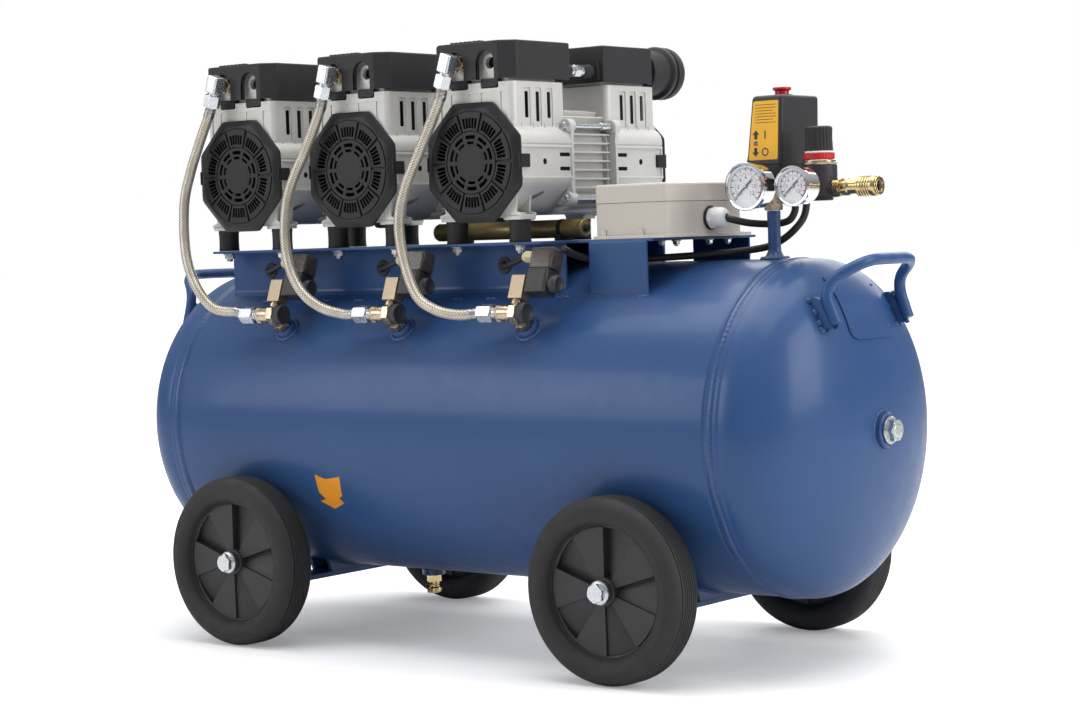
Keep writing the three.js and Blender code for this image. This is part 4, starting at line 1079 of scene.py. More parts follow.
def gauge(name, node, x, z, r, body_y0, y_back, marks, turn=0.0):
    """A dial gauge that faces -Y: case, bezel, dial with generic marks, needle and glass."""
    yf = -60.0
    case = lathe((x, 0, z), (0, 1, 0), [(r - 3.4, yf + 3.1), (r - 3.2, yf + 1.0), (r - 2.4, yf + 0.1), (r - 1.2, yf), (r - 0.3, yf + 0.5), (r, yf + 1.6), (r, yf + 6.4),
                                        (r - 0.5, yf + 7.3), (r - 1.6, yf + 7.9), (r - 1.9, yf + 9), (r - 1.9, yf + 24.5), (r - 2.6, yf + 26.3), (r - 4, yf + 27), (0, yf + 27),
                                        (0, yf + 5), (r - 4.2, yf + 5), (r - 3.4, yf + 3.1)], 72)
    if y_back > yf + 27.5:
        case.join(hexa((x, yf + 26.5, z), (x, yf + 33, z), 6.2, ch=0.7), rod((x, yf + 26, z), (x, y_back, z), 4.9, 24))
    make(name + "_case", case, CHROME, replaces=[node], angle=28, slot="chrome")
    d = lathe((x, 0, z), (0, 1, 0), [(0, yf + 3.6), (r - 4.2, yf + 3.6), (r - 3.6, yf + 3.2), (r - 3.3, yf + 3.2), (r - 3.3, yf + 5.4), (0, yf + 5.4)], 64)
    make(name + "_dial", d, DIAL, weighted=False)
    ticks, red = Geo(), Geo()
    yd = yf + 3.6
    R = r - 4.6

    def mark(g, ang, r0, r1, w):
        a = math.radians(ang)
        c, s_ = math.cos(a), math.sin(a)
        pts = [(x + c * rr + -s_ * ww, z + s_ * rr + c * ww) for rr, ww in ((r0, -w), (r1, -w), (r1, w), (r0, w))]
        g.join(prism("y", pts, yd - 0.14, yd + 0.05))
    n = marks * 5
    for k in range(n + 1):
        ang = 225 - 270 * k / n
        big = k % 5 == 0
        mark(ticks, ang, R * (0.76 if big else 0.86), R * 0.97, 0.55 if big else 0.28)
        if k % 2 == 0:
            mark(red, ang, R * 0.60, R * (0.69 if k % 4 else 0.73), 0.28)
    # red warning arc
    arc_o = [(x + R * 0.99 * math.cos(a), z + R * 0.99 * math.sin(a)) for a in (math.radians(t) for t in range(-40, 31, 5))]
    arc_i = [(x + R * 0.90 * math.cos(a), z + R * 0.90 * math.sin(a)) for a in (math.radians(t) for t in range(30, -41, -5))]
    red.join(prism("y", arc_o + arc_i, yd - 0.1, yd + 0.05))
    for k in range(0, marks + 1, 2 if marks > 6 else 1):
        a = math.radians(225 - 270 * k / marks)
        cx_, cz_ = x + R * 0.475 * math.cos(a) * 1.0, z + R * 0.475 * math.sin(a)
        ticks.join(text_geo(str(k), R * 0.29, lambda X, Y, Z, cx_=cx_, cz_=cz_: (cx_ + X, yd - 0.08 + Z * -1, cz_ + Y)))
    make(name + "_marks", ticks, INK, flat=True)
    make(name + "_red_marks", red, INK_RED, flat=True)
    a = math.radians(221)
    c, s_ = math.cos(a), math.sin(a)
    P = lambda l, w: (x + c * l - s_ * w, z + s_ * l + c * w)
    nd = prism("y", [P(-R * 0.44, -1.3), P(-R * 0.42, 1.3), P(0, 0.95), P(R * 0.55, 0.6), P(R * 0.84, 0.2), P(R * 0.84, -0.2), P(R * 0.55, -0.6), P(0, -0.95)], yd - 1.35, yd - 0.95)
    nd.join(lathe((x, 0, z), (0, -1, 0), [(0, -yd), (1.9, -yd), (1.9, -yd + 1.5), (1.5, -yd + 1.9), (0, -yd + 2.0)], 24))
    make(name + "_needle", nd, INK)
    hubg = lathe((x, 0, z), (0, -1, 0), [(0, -yd + 1.8), (1.15, -yd + 1.8), (1.0, -yd + 2.3), (0, -yd + 2.4)], 20)
    make(name + "_needle_hub", hubg, CHROME)
    gl = lathe((x, 0, z), (0, 1, 0), [(0, yf + 0.35), (r * 0.5, yf + 0.5), (r - 3.3, yf + 0.9), (r - 3.3, yf + 1.5), (r * 0.5, yf + 1.1), (0, yf + 0.95)], 64)
    make(name + "_glass", gl, GLASS, weighted=False)


def head_gear():
    z = 524.0
    MX, RX = 365.0, 425.0
    g = hexa((MX, 0, 497.9), (MX, 0, 506), 10.5, ch=1.0, phase=0.3)
    g.join(lathe((MX, 0, 0), (0, 0, 1), [(0, 505.5), (9, 505.5), (9, 513), (8.4, 513.6), (8.4, 514.6), (9, 515.2), (9, 531.6), (8.2, 532.6), (0, 532.6)], 36))
    g.join(lathe((0, 0, z), (1, 0, 0), [(0, 357), (8, 357), (8, 378), (8.7, 379), (8.7, 381), (8, 382), (8, 398), (9.4, 398.8), (9.4, 404.6), (8.8, 405.7), (0, 405.7)], 36))
    g.join(hexa((MX, 0, z), (MX, -32.7, z), 6.5, ch=0.5))
    g.join(hexa((MX - 20, 0, z + 1), (MX - 8, 0, z + 1), 7.4, ch=0.6))
    make("manifold_cross", g, NICKEL, replaces=["manifold"])
    gauge("tank_gauge", "tank_gauge", MX + 2, z, 26.0, 0, -60.0, 12)
    gauge("outlet_gauge", "outlet_gauge", RX + 1.5, 522.5, 21.75, 0, -20.2, 12)

    # pressure switch: tapered cover over a base
    def ring(x0, x1, y0, y1, zz, rr):
        return [Vector((p[0], p[1], zz)) for p in rrect(x0, x1, y0, y1, rr, 6)]
    lo = (341, 387.5, -17, 62, 548)
    hi = (349, 389, -14.5, 62, 623)
    rows = [ring(lo[0] + 1.0, lo[1] - 1.0, lo[2] + 1.0, lo[3] - 1.0, 547.6, 3.2), ring(lo[0], lo[1], lo[2], lo[3], 548.4, 4), ring(lo[0], lo[1], lo[2], lo[3], 551.5, 4)]
    for k in range(1, 11):
        t = k / 10
        zz = 551.5 + (619.0 - 551.5) * t
        f = (zz - 548) / 75.0
        e = [lo[j] + (hi[j] - lo[j]) * f for j in range(4)]
        rows.append(ring(e[0] + 0.35, e[1] - 0.35, e[2] + 0.35, e[3] - 0.35, zz, 4))
    for k in range(1, 6):
        a = math.pi / 2 * k / 5
        i_ = 0.35 + 4 * (1 - math.cos(a))
        rows.append(ring(hi[0] + i_, hi[1] - i_, hi[2] + i_, hi[3] - i_, 619.0 + 4 * math.sin(a), max(4 - i_ * 0.5, 1)))
    body = csg(loft(rows), cut=[rod((368.5, 18, 600), (368.5, 18, 627), 9.3, 40)])
    # collar ring round the knob and a seam line
    body.join(lathe((368.5, 18, 0), (0, 0, 1), [(9.3, 620), (11.8, 620), (11.8, 623.6), (11.2, 624.2), (9.8, 624.2), (9.3, 623.7), (9.3, 620)], 40))
    make("switch_cover", body, SWITCH, replaces=["pressure_switch"], angle=30)
    g = rbox(343, 385.5, -15, 60, 533, 548.4, 3, 0, 1.2)
    for x, y in ((347, -11), (381.5, -11), (347, 56), (381.5, 56)):
        g.join(rod((x, y, 531.4), (x, y, 534), 3.2, 18, ch=0.4))
    g.join(rod((MX, 0, 529), (MX, 0, 534), 12, 32, ch=0.6))
    g.join(rod((368, 22, 529.5), (368, 22, 534), 11.5, 32, ch=0.6))
    make("switch_base", g, SWITCH)
    g = Geo()
    for x, y in ((379.5, 22), (384.5, 37)):
        g.join(lathe((x, y, 0), (0, 0, 1), [(4.2, 514.7), (5.2, 514.7), (6.0, 516.5), (6.5, 519), (6.5, 521), (5.8, 521.6), (5.8, 523), (6.5, 523.6), (6.5, 534), (4.2, 534), (4.2, 514.7)], 28))
    make("switch_strain_reliefs", g, FOOT)
    g = lathe((368.5, 18, 0), (0, 0, 1), [(0, 606), (8.0, 606), (8.4, 606.6), (8.4, 622), (7.7, 625.5), (7.7, 628.2), (9.6, 629.2), (10.2, 630), (10.2, 631.5), (9.6, 632.3), (7.4, 632.3), (6.8, 631.8), (0, 631.7)], 48)
    make("switch_pull_knob", g, RED, "switch_knob", replaces=["switch_knob"])
    # label with generic arrows and I / O marks
    fy = lambda zz: -17 + (zz - 548) * (2.5 / 75.0) - 0.02
    lab = []
    o = [(346.9, 553.0), (381.4, 553.0), (382.8, 554.4), (384.2, 615.6), (382.9, 617), (353.6, 617), (352.2, 615.6), (345.7, 554.4)]

    def on_face(pts, d0, d1, mat=0):
        n = len(pts)
        V = [(px, fy(pz) + d0, pz) for px, pz in pts] + [(px, fy(pz) + d1, pz) for px, pz in pts]
        F = [tuple(range(n)), tuple(n + i for i in reversed(range(n)))] + [(k, (k + 1) % n, n + (k + 1) % n, n + k) for k in range(n)]
        return Geo().add(V, F, mat)
    g = on_face(o, -0.3, 0.6)
    make("switch_label", g, YELLOW, flat=True)
    k = Geo()

    def quad(x0, x1, z0, z1):
        k.join(on_face([(x0, z0), (x1, z0), (x1, z1), (x0, z1)], -0.42, 0.1))
    # up arrow, bar; down arrow, ring
    k.join(on_face([(353.2, 575.6), (357.0, 575.6), (357.0, 580.4), (359.6, 580.4), (355.3, 585.6), (351.0, 580.4), (353.2, 580.4)], -0.42, 0.1))
    k.join(on_face([(352.9, 566.4), (352.9, 561.6), (350.6, 561.6), (354.8, 556.6), (359.0, 561.6), (356.7, 561.6), (356.7, 566.4)], -0.42, 0.1))
    quad(366.3, 367.9, 576.0, 584.6)
    nseg = 28
    co = [(367.0 + 4.4 * math.cos(t), 561.6 + 4.4 * math.sin(t)) for t in (TAU * j / nseg for j in range(nseg))]
    ci = [(367.0 + 3.2 * math.cos(t), 561.6 + 3.2 * math.sin(t)) for t in (TAU * j / nseg for j in range(nseg))]
    V = [(px, fy(pz) - 0.42, pz) for px, pz in co + ci] + [(px, fy(pz) + 0.1, pz) for px, pz in co + ci]
    F = []
    for j in range(nseg):
        j2 = (j + 1) % nseg
        F += [(j, j2, nseg + j2, nseg + j), (2 * nseg + j, 2 * nseg + j2, 3 * nseg + j2, 3 * nseg + j), (j, j2, 2 * nseg + j2, 2 * nseg + j), (nseg + j, nseg + j2, 3 * nseg + j2, 3 * nseg + j)]
    k.add(V, F)
    # plain rules instead of the maker's printing
    for j in range(7):
        quad(354.6, 381.0 - 3.5 * (j % 3 == 2), 612.4 - j * 3.2, 612.95 - j * 3.2)
    make("switch_label_marks", k, INK, flat=True)
    sq = on_face([(352.4, 568.6), (357.6, 568.6), (357.6, 571.0), (352.4, 571.0)], -0.42, 0.1)
    sq.join(on_face([(352.4, 571.2), (357.6, 571.2), (357.6, 573.4), (352.4, 573.4)], -0.42, 0.1), mat=1)
    make("switch_label_squares", sq, [INK_RED, BLUE], flat=True)

    # regulator
    g = lathe((RX, 0, 0), (0, 0, 1), [(0, 506.5), (13, 506.5), (14, 507.2), (14, 509.4), (17.8, 510.2), (19, 511.6), (19, 528), (18.5, 529), (18.5, 530), (19, 531), (19, 543.5), (18.2, 545), (9, 545), (9, 550), (0, 550)], 56)
    g.join(rod((RX, 0, 549), (RX, 0, 557), 9, 28))
    g.join(hexa((RX - 21, 0, z), (RX - 14, 0, z), 12.5, ch=0.8), hexa((RX + 12, 0, 520), (RX + 19, 0, 520), 12.0, ch=0.8), hexa((RX + 1.5, -12, 522.5), (RX + 1.5, -20, 522.5), 8.5, ch=0.8))
    make("regulator_housing", g, SWITCH, replaces=["regulator_body"])
    g = lathe((RX, 0, 0), (0, 0, 1), [(12, 545.2), (18.6, 545.2), (19.0, 545.8), (19.0, 547), (18.2, 547.4), (17.6, 547.8), (17.6, 549.6), (17.1, 550.1), (12, 550.1), (12, 545.2)], 56)
    make("regulator_lock_nut", g, NICKEL)
    g = lathe((RX, 0, 0), (0, 0, 1), [(12, 550.7), (15.8, 550.7), (16.4, 551.4), (16.4, 557.2), (15.8, 557.9), (12, 557.9), (12, 550.7)], 72, fn=lambda r, a, t: r + (0.25 * math.cos(36 * t) if r > 16 else 0))
    make("regulator_red_ring", g, RED, "regulator_knob")
    g = lathe((RX, 0, 0), (0, 0, 1), [(12, 557.8), (15.4, 557.8), (15.6, 558.2), (15.6, 559.3), (15.2, 559.7), (12, 559.7), (12, 557.8)], 56)
    make("regulator_white_ring", g, WHITE, "regulator_knob")
    rib = lambda r, a, t: r - (0.85 * max(0.0, math.cos(22 * t)) ** 0.7 if r > 13.4 and 561 < a < 585 else 0)
    g = lathe((RX, 0, 0), (0, 0, 1), [(9.7, 559.5), (14.4, 559.5), (15.1, 560.2), (15.1, 561.6), (15.0, 562.2), (14.5, 572), (14.6, 580), (14.9, 583.2), (14.5, 585.0), (13.2, 586.2), (11.5, 586.5), (10.4, 585.9), (0, 585.7), (0, 560), (9.7, 559.5)], 220, fn=rib)
    make("regulator_ribbed_knob", g, COVER, "regulator_knob", replaces=["regulator_knob"], angle=50, weighted=False)

    # outlet coupler
    X0 = 444.3
    g = hexa((X0, 0, 520), (X0 + 8.4, 0, 520), 10.5, ch=0.9, phase=0.25)
    g.join(lathe((0, 0, 520), (1, 0, 0), [(0, 452), (7.2, 452), (7.2, 453.6), (8.6, 454.2), (9.3, 455.4), (9.3, 461.5), (8.4, 462.6), (8.4, 464.2), (8.0, 465), (8.0, 497.4), (7.6, 498.6), (7.0, 499), (6.2, 499), (5.8, 498.4), (5.8, 480), (0, 480)], 48,
                 fn=lambda r, a, t: r - (0.7 * max(0.0, math.cos(6 * t)) if 455 < a < 462 and r > 9 else 0)))
    g.join(lathe((0, 0, 520), (1, 0, 0), [(7.9, 497.3), (9.6, 497.3), (10.1, 497.8), (10.1, 498.7), (9.5, 499.2), (7.9, 499.2), (7.9, 497.3)], 48))
    make("coupler_core", g, BRASS, replaces=["coupler_body"])
    pr = [(8.4, 474), (10.2, 474), (10.8, 474.6), (10.8, 476.2), (10.2, 476.8), (10.2, 477.6)]
    a = 478.0
    for j in range(4):
        pr += [(11.2, a + 0.4), (11.2, a + 1.7), (10.6, a + 2.1), (10.6, a + 2.6)]
        a += 3.0
    pr += [(11.2, 491), (11.2, 494.0), (10.4, 495.8), (9.6, 496.5), (8.4, 496.5), (8.4, 474)]
    make("coupler_ringed_sleeve", lathe((0, 0, 520), (1, 0, 0), pr, 56), BRASS, "coupler_sleeve", replaces=["coupler_sleeve"])
    make("coupler_socket_lining", lathe((0, 0, 520), (1, 0, 0), [(5.6, 481), (5.75, 481), (5.75, 498), (5.3, 498), (4.4, 494), (4.2, 488), (4.2, 481), (5.6, 481)], 36), STEEL)

    # safety valve
    g = hexa((MX - 20.3, 0, z + 1), (MX - 27, 0, z + 1), 8, ch=0.8)
    g.join(lathe((MX, 0, z + 1), (-1, 0, 0), [(0, 26), (6.2, 26), (6.2, 31), (5.5, 31.6), (5.5, 32.6), (6.2, 33.2), (6.2, 40.5), (5.4, 42), (0, 42)], 32))
    g.join(rod((MX - 41.5, 0, z + 1), (MX - 52, 0, z + 1), 1.6, 14, ch=0.3))
    make("safety_valve_brass", g, BRASS, replaces=["safety_valve"])
    g = lathe((MX, 0, z + 1), (-1, 0, 0), [(2.0, 43.5), (4.8, 43.5), (5.2, 44), (5.2, 54.5), (4.9, 56.6), (4.0, 57.7), (2.6, 58), (0, 58), (0, 53), (2.0, 53), (2.0, 43.5)], 48,
              fn=lambda r, a, t: r - (0.35 * max(0.0, math.cos(12 * t)) if r > 5 and a < 54 else 0))
    make("safety_pull_cap", g, RED, "safety_valve_pull", replaces=["safety_valve_pull"])


head_gear()


# ------------------------------------------------------------- gold cylinder
def capacitor():
    g = lathe((0, -28, 486), (1, 0, 0), [(0, -95), (8.6, -95), (9.2, -94.6), (9.6, -93.4), (9.9, -93), (10.5, -91.8), (10.5, 120), (10.1, 121), (10.1, 122), (10.5, 123), (10.5, 126.4), (9.8, 127.8), (8.8, 128), (8.4, 127.2), (0, 127.2)], 56,
              fn=lambda r, a, t: r * (1 + 0.006 * math.sin(a * 0.11) + 0.004 * math.sin(3 * t + a * 0.05)) if r > 10 else r)
    make("capacitor_can", g, GOLD, replaces=["capacitor"], weighted=False)
    g = Geo()
    for x in (-55.0, 95.0):
        g.join(csg(rbox(x - 4.5, x + 4.5, -40, -16, 472.3, 480, 1.5, 0.6), cut=[rod((x - 9, -28, 486), (x + 9, -28, 486), 10.4, 32)]))
        g.join(lathe((x, -28, 486), (1, 0, 0), [(10.5, -3), (11.1, -2.6), (11.1, 2.6), (10.5, 3), (10.5, -3)], 48))
    make("capacitor_clips", g, FOOT)
    g = lathe((0, -28, 486), (1, 0, 0), [(0, 127), (4.6, 127), (4.6, 130.5), (3.8, 132), (0, 132)], 28)
    make("capacitor_terminal", g, FOOT)


capacitor()


# ----------------------------------------------------------------- motor units
def side_curve(sx):
    """Lower outline of a crankcase from its belt line down to its flat bottom, on side sx."""
    P = [(66.6, 543.2), (65.9, 540.6), (64.2, 537.4), (61.0, 533.2), (56.4, 528.0), (50.8, 521.6), (45.6, 515.4), (41.0, 510.6), (36.0, 506.8), (30.5, 504.2)]
    pts = [(sx * x, z) for x, z in P]
    return pts


def crankcase_geo():
    """The front crankcase (towards -Y) about x = 0; rear ones are its mirror image."""
    rt = side_curve(1) + [(24, 503)]
    low = [(-24, 503)] + [(24, 503)] + list(reversed(side_curve(1))) + [(66.8, 545), (66.8, 586), (66.0, 590.6), (64.0, 594.6), (61.2, 597.8), (57, 600.5), (57, 606), (-57, 606), (-57, 600.5), (-61.2, 597.8), (-64.0, 594.6), (-66.0, 590.6), (-66.8, 586), (-66.8, 545)] + side_curve(-1)
    body = beveled(prism("y", low, -136, -40), 1.6, 3, 50)
    jacket = [Vector((p[0], p[1], 0)) for p in rrect(-57, 57, -136, -40, 7.5, 6)]
    jk = loft([[Vector((p.x, p.y, zz)) for p in jacket] for zz in (596, 652)])
    body = csg(body, add=[jk])
    cuts = []
    # hollow inside, so the vents are dark
    cuts.append(box(-55.1, 55.1, -108.5, -45, 600, 648.5))
    cuts.append(box(-53, 53, -131, -108.4, 600, 648.5))
    cuts.append(box(-64.7, 64.7, -109, -45, 547.5, 577.5))
    cuts.append(box(-53, 53, -109, -45, 577, 601))
    for sx in (-1, 1):
        X = lambda a, b: sorted((sx * a, sx * b))
        # belt panel, two slots and a hole
        a, b = X(65.4, 70)
        cuts.append(prism("x", rrect(-132, -44.5, 545.5, 577.5, 1.4, 3), a, b))
        a, b = X(50, 70)
        for zc in (570, 554):
            cuts.append(prism("x", rrect(-64.5, -45.5, zc - 2.2, zc + 2.2, 0.9, 2), a, b))
        cuts.append(prism("x", circle(3.6, 20, -92, 562), a, b))
        # groove over the panel
        a, b = X(65.6, 70)
        cuts.append(prism("x", [(-137, 581.0), (-39, 581.0), (-39, 582.4), (-137, 582.4)], a, b))
        # jacket louvres: a shallow window each, then the slot through it
        for yc in (-110, -90, -69.5):
            a, b = X(55.6, 60)
            cuts.append(prism("x", rrect(yc - 7.0, yc + 5.6, 602, 645.5, 2.2, 3), a, b))
            a, b = X(50, 60)
            low = 607.5 if yc == -90 else 611.5
            cuts.append(prism("x", rrect(yc - 3.1, yc + 3.1, low, 641, 0.8, 2), a, b))
        # slanted slot low on the case
        a, b = X(40, 70)
        cuts.append(prism("x", [(-101, 517.5), (-86, 524.5), (-84, 528), (-87, 529.6), (-101.5, 523.0), (-103.5, 519)], a, b))
    # front panels and the dark notches under the cover's arches
    for x0, x1 in ((-49, -35), (-31, -8), (10, 12.5), (37, 49)):
        pass
    for x0, x1 in ((-48, -35.5), (-7.0, 9.0), (39.0, 49)):
        cuts.append(prism("y", rrect(x0, x1, 606, 641, 1.2, 2), -137, -134.8))
    for xc in (-20, 24):
        cuts.append(prism("y", rrect(xc - 13, xc + 13, 606, 641, 1.2, 2), -137, -135.0))
        cuts.append(prism("y", rrect(xc - 13.0, xc + 13.0, 645.4, 657, 2.4, 3), -140, -127.5))
    # cavity for the fan and rotor
    cuts.append(rod((0, -112, HUB_Z), (0, -137.5, HUB_Z), 54.5, 64))
    cuts.append(rod((0, -39, HUB_Z), (0, -47, HUB_Z), 43, 48))
    cuts.append(rod((0, -46, HUB_Z), (0, -113, HUB_Z), 10, 32))
    body = csg(body, cut=cuts)
    extra = Geo()
    # wall between the fan and the crank space
    extra.join(csg(rod((0, -110, HUB_Z), (0, -112.4, HUB_Z), 55, 48), cut=[rod((0, -109, HUB_Z), (0, -114, HUB_Z), 10, 32)]))
    # raised rim next to the motor frame
    half, rr = 67.4, 19.0
    o = rrect(-half, half, HUB_Z - 56, HUB_Z + 37, rr, 8)
    i_ = rrect(-half + 4.5, half - 4.5, HUB_Z - 52, HUB_Z + 33, rr - 3, 8)
    extra.join(beveled(prism("y", o, -44.2, -39.9, [i_]), 0.9, 2, 40))
    # ridges between the louvres' lower ends
    for sx in (-1, 1):
        for yc in (-121, -100, -79.5, -57):
            a, b = sorted((sx * 55, sx * 58.1))
            extra.join(beveled(prism("x", [(yc - 1.7, 598), (yc + 1.7, 598), (yc + 1.3, 606), (yc - 1.3, 606)], a, b), 0.5, 2))
        # rails along the belt panel
        a, b = sorted((sx * 64.5, sx * 67.5))
        extra.join(beveled(prism("x", [(-135, 542.2), (-41, 542.2), (-41, 545.4), (-135, 545.4)], a, b), 0.9, 2))
        extra.join(beveled(prism("x", [(-135, 577.4), (-41, 577.4), (-41, 580.4), (-135, 580.4)], a, b), 0.9, 2))
        # tie-rod lugs with their webs
        for zc, up in ((603, 1), (520, -1)):
            x = sx * 61.5
            extra.join(lathe((x, -48.6, zc), (0, 1, 0), [(0, 0), (7.4, 0), (8.2, 0.8), (8.2, 10.4), (7.4, 11.2), (0, 11.2)], 32))
            w = [(x - sx * 3, zc - up * 4), (x + sx * 7, zc - up * 3), (x + sx * 5.2, zc - up * 20), (x - sx * 4, zc - up * 20)]
            extra.join(beveled(prism("y", w, -45.4, -39.8), 0.7, 2))
            extra.join(beveled(prism("y", [(x - sx * 16, zc + up * 7), (x, zc + up * 7.2), (x, zc - up * 6), (x - sx * 16, zc - up * 2)], -45.2, -40), 0.7, 2))
    # head casting with its two ports
    hd = beveled(prism("y", [(-46, 650), (46, 650), (46, 684), (42, 690), (-42, 690), (-46, 684)], -128, -44), 1.5, 3)
    port = []
    for xc in (-20, 24):
        port.append(lathe((xc, -126, 674), (0, -1, 0), [(0, 0), (11.2, 0), (11.2, 6), (10.4, 7.2), (0, 7.2)], 40))
        port.append(beveled(prism("y", [(xc - 12, 654), (xc + 12, 654), (xc + 12, 668), (xc - 12, 668)], -132.5, -126), 1.0, 2))
    port.append(rod((41.5, -46, 668), (41.5, -41.5, 668), 10, 28, ch=0.8))
    hd = csg(hd, add=port, cut=[rod((24, -118, 674), (24, -136, 674), 6.8, 32), rod((-20, -127, 674), (-20, -136, 674), 6.4, 32), rod((41.5, -48, 668), (41.5, -40, 668), 5.2, 24)])
    # painted shade: a near-black plug down the open port's bore stands in for the shade in the hole
    extra.join(rod((24, -118.5, 674), (24, -127.5, 674), 6.6, 28), mat=1)
    extra.join(hd)
    # cast pads over the rubber feet, each with two webs
    for q in (-1, 1):
        x = q * 46.0
        extra.join(beveled(rbox(x - 14, x + 14, -131, -103, 497.4, 503.2, 4), 0.9, 2, 40))
        extra.join(lathe((x, -117, 0), (0, 0, 1), [(0, 502), (7.6, 502), (7.6, 504.6), (6.8, 505.4), (0, 505.4)], 28))
        for yc, th in ((-129.2, 3.6), (-105.0, 3.2)):
            w = [(q * 28, 501), (q * 60, 501), (q * 60, 504.6), (q * 51.5, 507), (q * 55.0, 534), (q * 42, 520)]
            if q < 0:
                w = list(reversed(w))
            extra.join(beveled(prism("y", w, yc - th / 2, yc + th / 2), 0.7, 2))
    body.join(extra)
    # painted shade: a near-black lining stands in for the shade inside the case and closes the view through the vents
    lining = csg(box(-54.8, 54.8, -108.2, -45.3, 577.8, 648.2), add=[box(-64.4, 64.4, -108.7, -45.3, 547.8, 577.2), box(-52.8, 52.8, -108.2, -45.4, 560, 600)],
                 cut=[box(-50.5, 50.5, -107, -47.5, 549, 646), rod((0, -40, HUB_Z), (0, -115, HUB_Z), 10.5, 32)])
    lining.join(csg(rod((0, -113, HUB_Z), (0, -135.6, HUB_Z), 54.3, 64), cut=[rod((0, -113.6, HUB_Z), (0, -137, HUB_Z), 53.2, 64), rod((0, -110, HUB_Z), (0, -115, HUB_Z), 10.5, 32)]))
    body.join(lining, mat=1)
    return body


def cover_geo():
    B, W = 15.0, 59.0
    o = [(-W, -32), (-W, -(143.5 - B)), (-W + B, -143.5), (W - B, -143.5), (W, -(143.5 - B)), (W, -32)]
    rows = []

    def ring(inset, zz):
        w, y1, b = W - inset, 143.5 - inset, B - inset * 0.4
        base = [(-w, -32 - inset), (-w, -(y1 - b)), (-w + b, -y1), (w - b, -y1), (w, -(y1 - b)), (w, -32 - inset)]
        # small radius on every corner
        pts = []
        m = len(base)
        for k in range(m):
            p, c, q = Vector(base[k - 1]), Vector(base[k]), Vector(base[(k + 1) % m])
            r = 2.2
            a, b2 = c + (p - c).normalized() * r, c + (q - c).normalized() * r
            for t in (0, 0.25, 0.5, 0.75, 1.0):
                pts.append(a * (1 - t) ** 2 + c * 2 * t * (1 - t) + b2 * t * t)
        return [Vector((p.x, p.y, zz)) for p in pts]
    rows = [ring(0.0, 655.4), ring(0.0, 695.9)]
    for k in range(1, 5):
        a = math.pi / 2 * k / 4
        rows.append(ring(1.9 * (1 - math.cos(a)), 695.9 + 1.9 * math.sin(a)))
    outer = loft(rows)
    inner = loft([ring(2.5, 650), ring(2.5, 695.3)])

    def arch(xc, w=13.0, top=688.0, y0=-139.5, y1=-147):
        pts = [(xc - w, 650), (xc + w, 650)] + [(xc + w * math.cos(a), top - w + w * math.sin(a)) for a in (math.radians(t) for t in range(0, 181, 15))]
        return prism("y", pts, y1, y0)
    cuts = [inner, arch(-20), arch(24), rod((41.5, -28, 668), (41.5, -38, 668), 8.6, 32)]
    g = csg(outer, cut=cuts)
    # lip round each arch
    for xc in (-20, 24):
        w = 13.0
        po = [(xc - w - 1.4, 655.6)] + [(xc + (w + 1.4) * math.cos(a), 675 + (w + 1.4) * math.sin(a)) for a in (math.radians(t) for t in range(180, -1, -12))] + [(xc + w + 1.4, 655.6)]
        pi_ = [(xc + w, 655.6)] + [(xc + w * math.cos(a), 675 + w * math.sin(a)) for a in (math.radians(t) for t in range(0, 181, 12))] + [(xc - w, 655.6)]
        g.join(prism("y", po + pi_, -143.2, -137.0))
        g.join(beveled(prism("y", [(xc - 12.2, 656.2), (xc - 12.2, 650.5), (xc - 9.5, 646.6), (xc + 9.5, 646.6), (xc + 12.2, 650.5), (xc + 12.2, 656.2)], -136.2, -128.2), 0.6, 2))
    # serrations along the front of the top edge
    for k in range(7):
        x = -25 + k * 6.6
        g.join(rbox(x - 1.5, x + 1.5, -142.0, -133.0, 697.6, 699.3, 0.6, 0.6))
    return g


def sector(r0, r1, a0, a1, n, zc=HUB_Z):
    out = [(r1 * math.cos(a0 + (a1 - a0) * k / n), zc + r1 * math.sin(a0 + (a1 - a0) * k / n)) for k in range(n + 1)]
    out += [(r0 * math.cos(a1 + (a0 - a1) * k / n), zc + r0 * math.sin(a1 + (a0 - a1) * k / n)) for k in range(n + 1)]
    return out


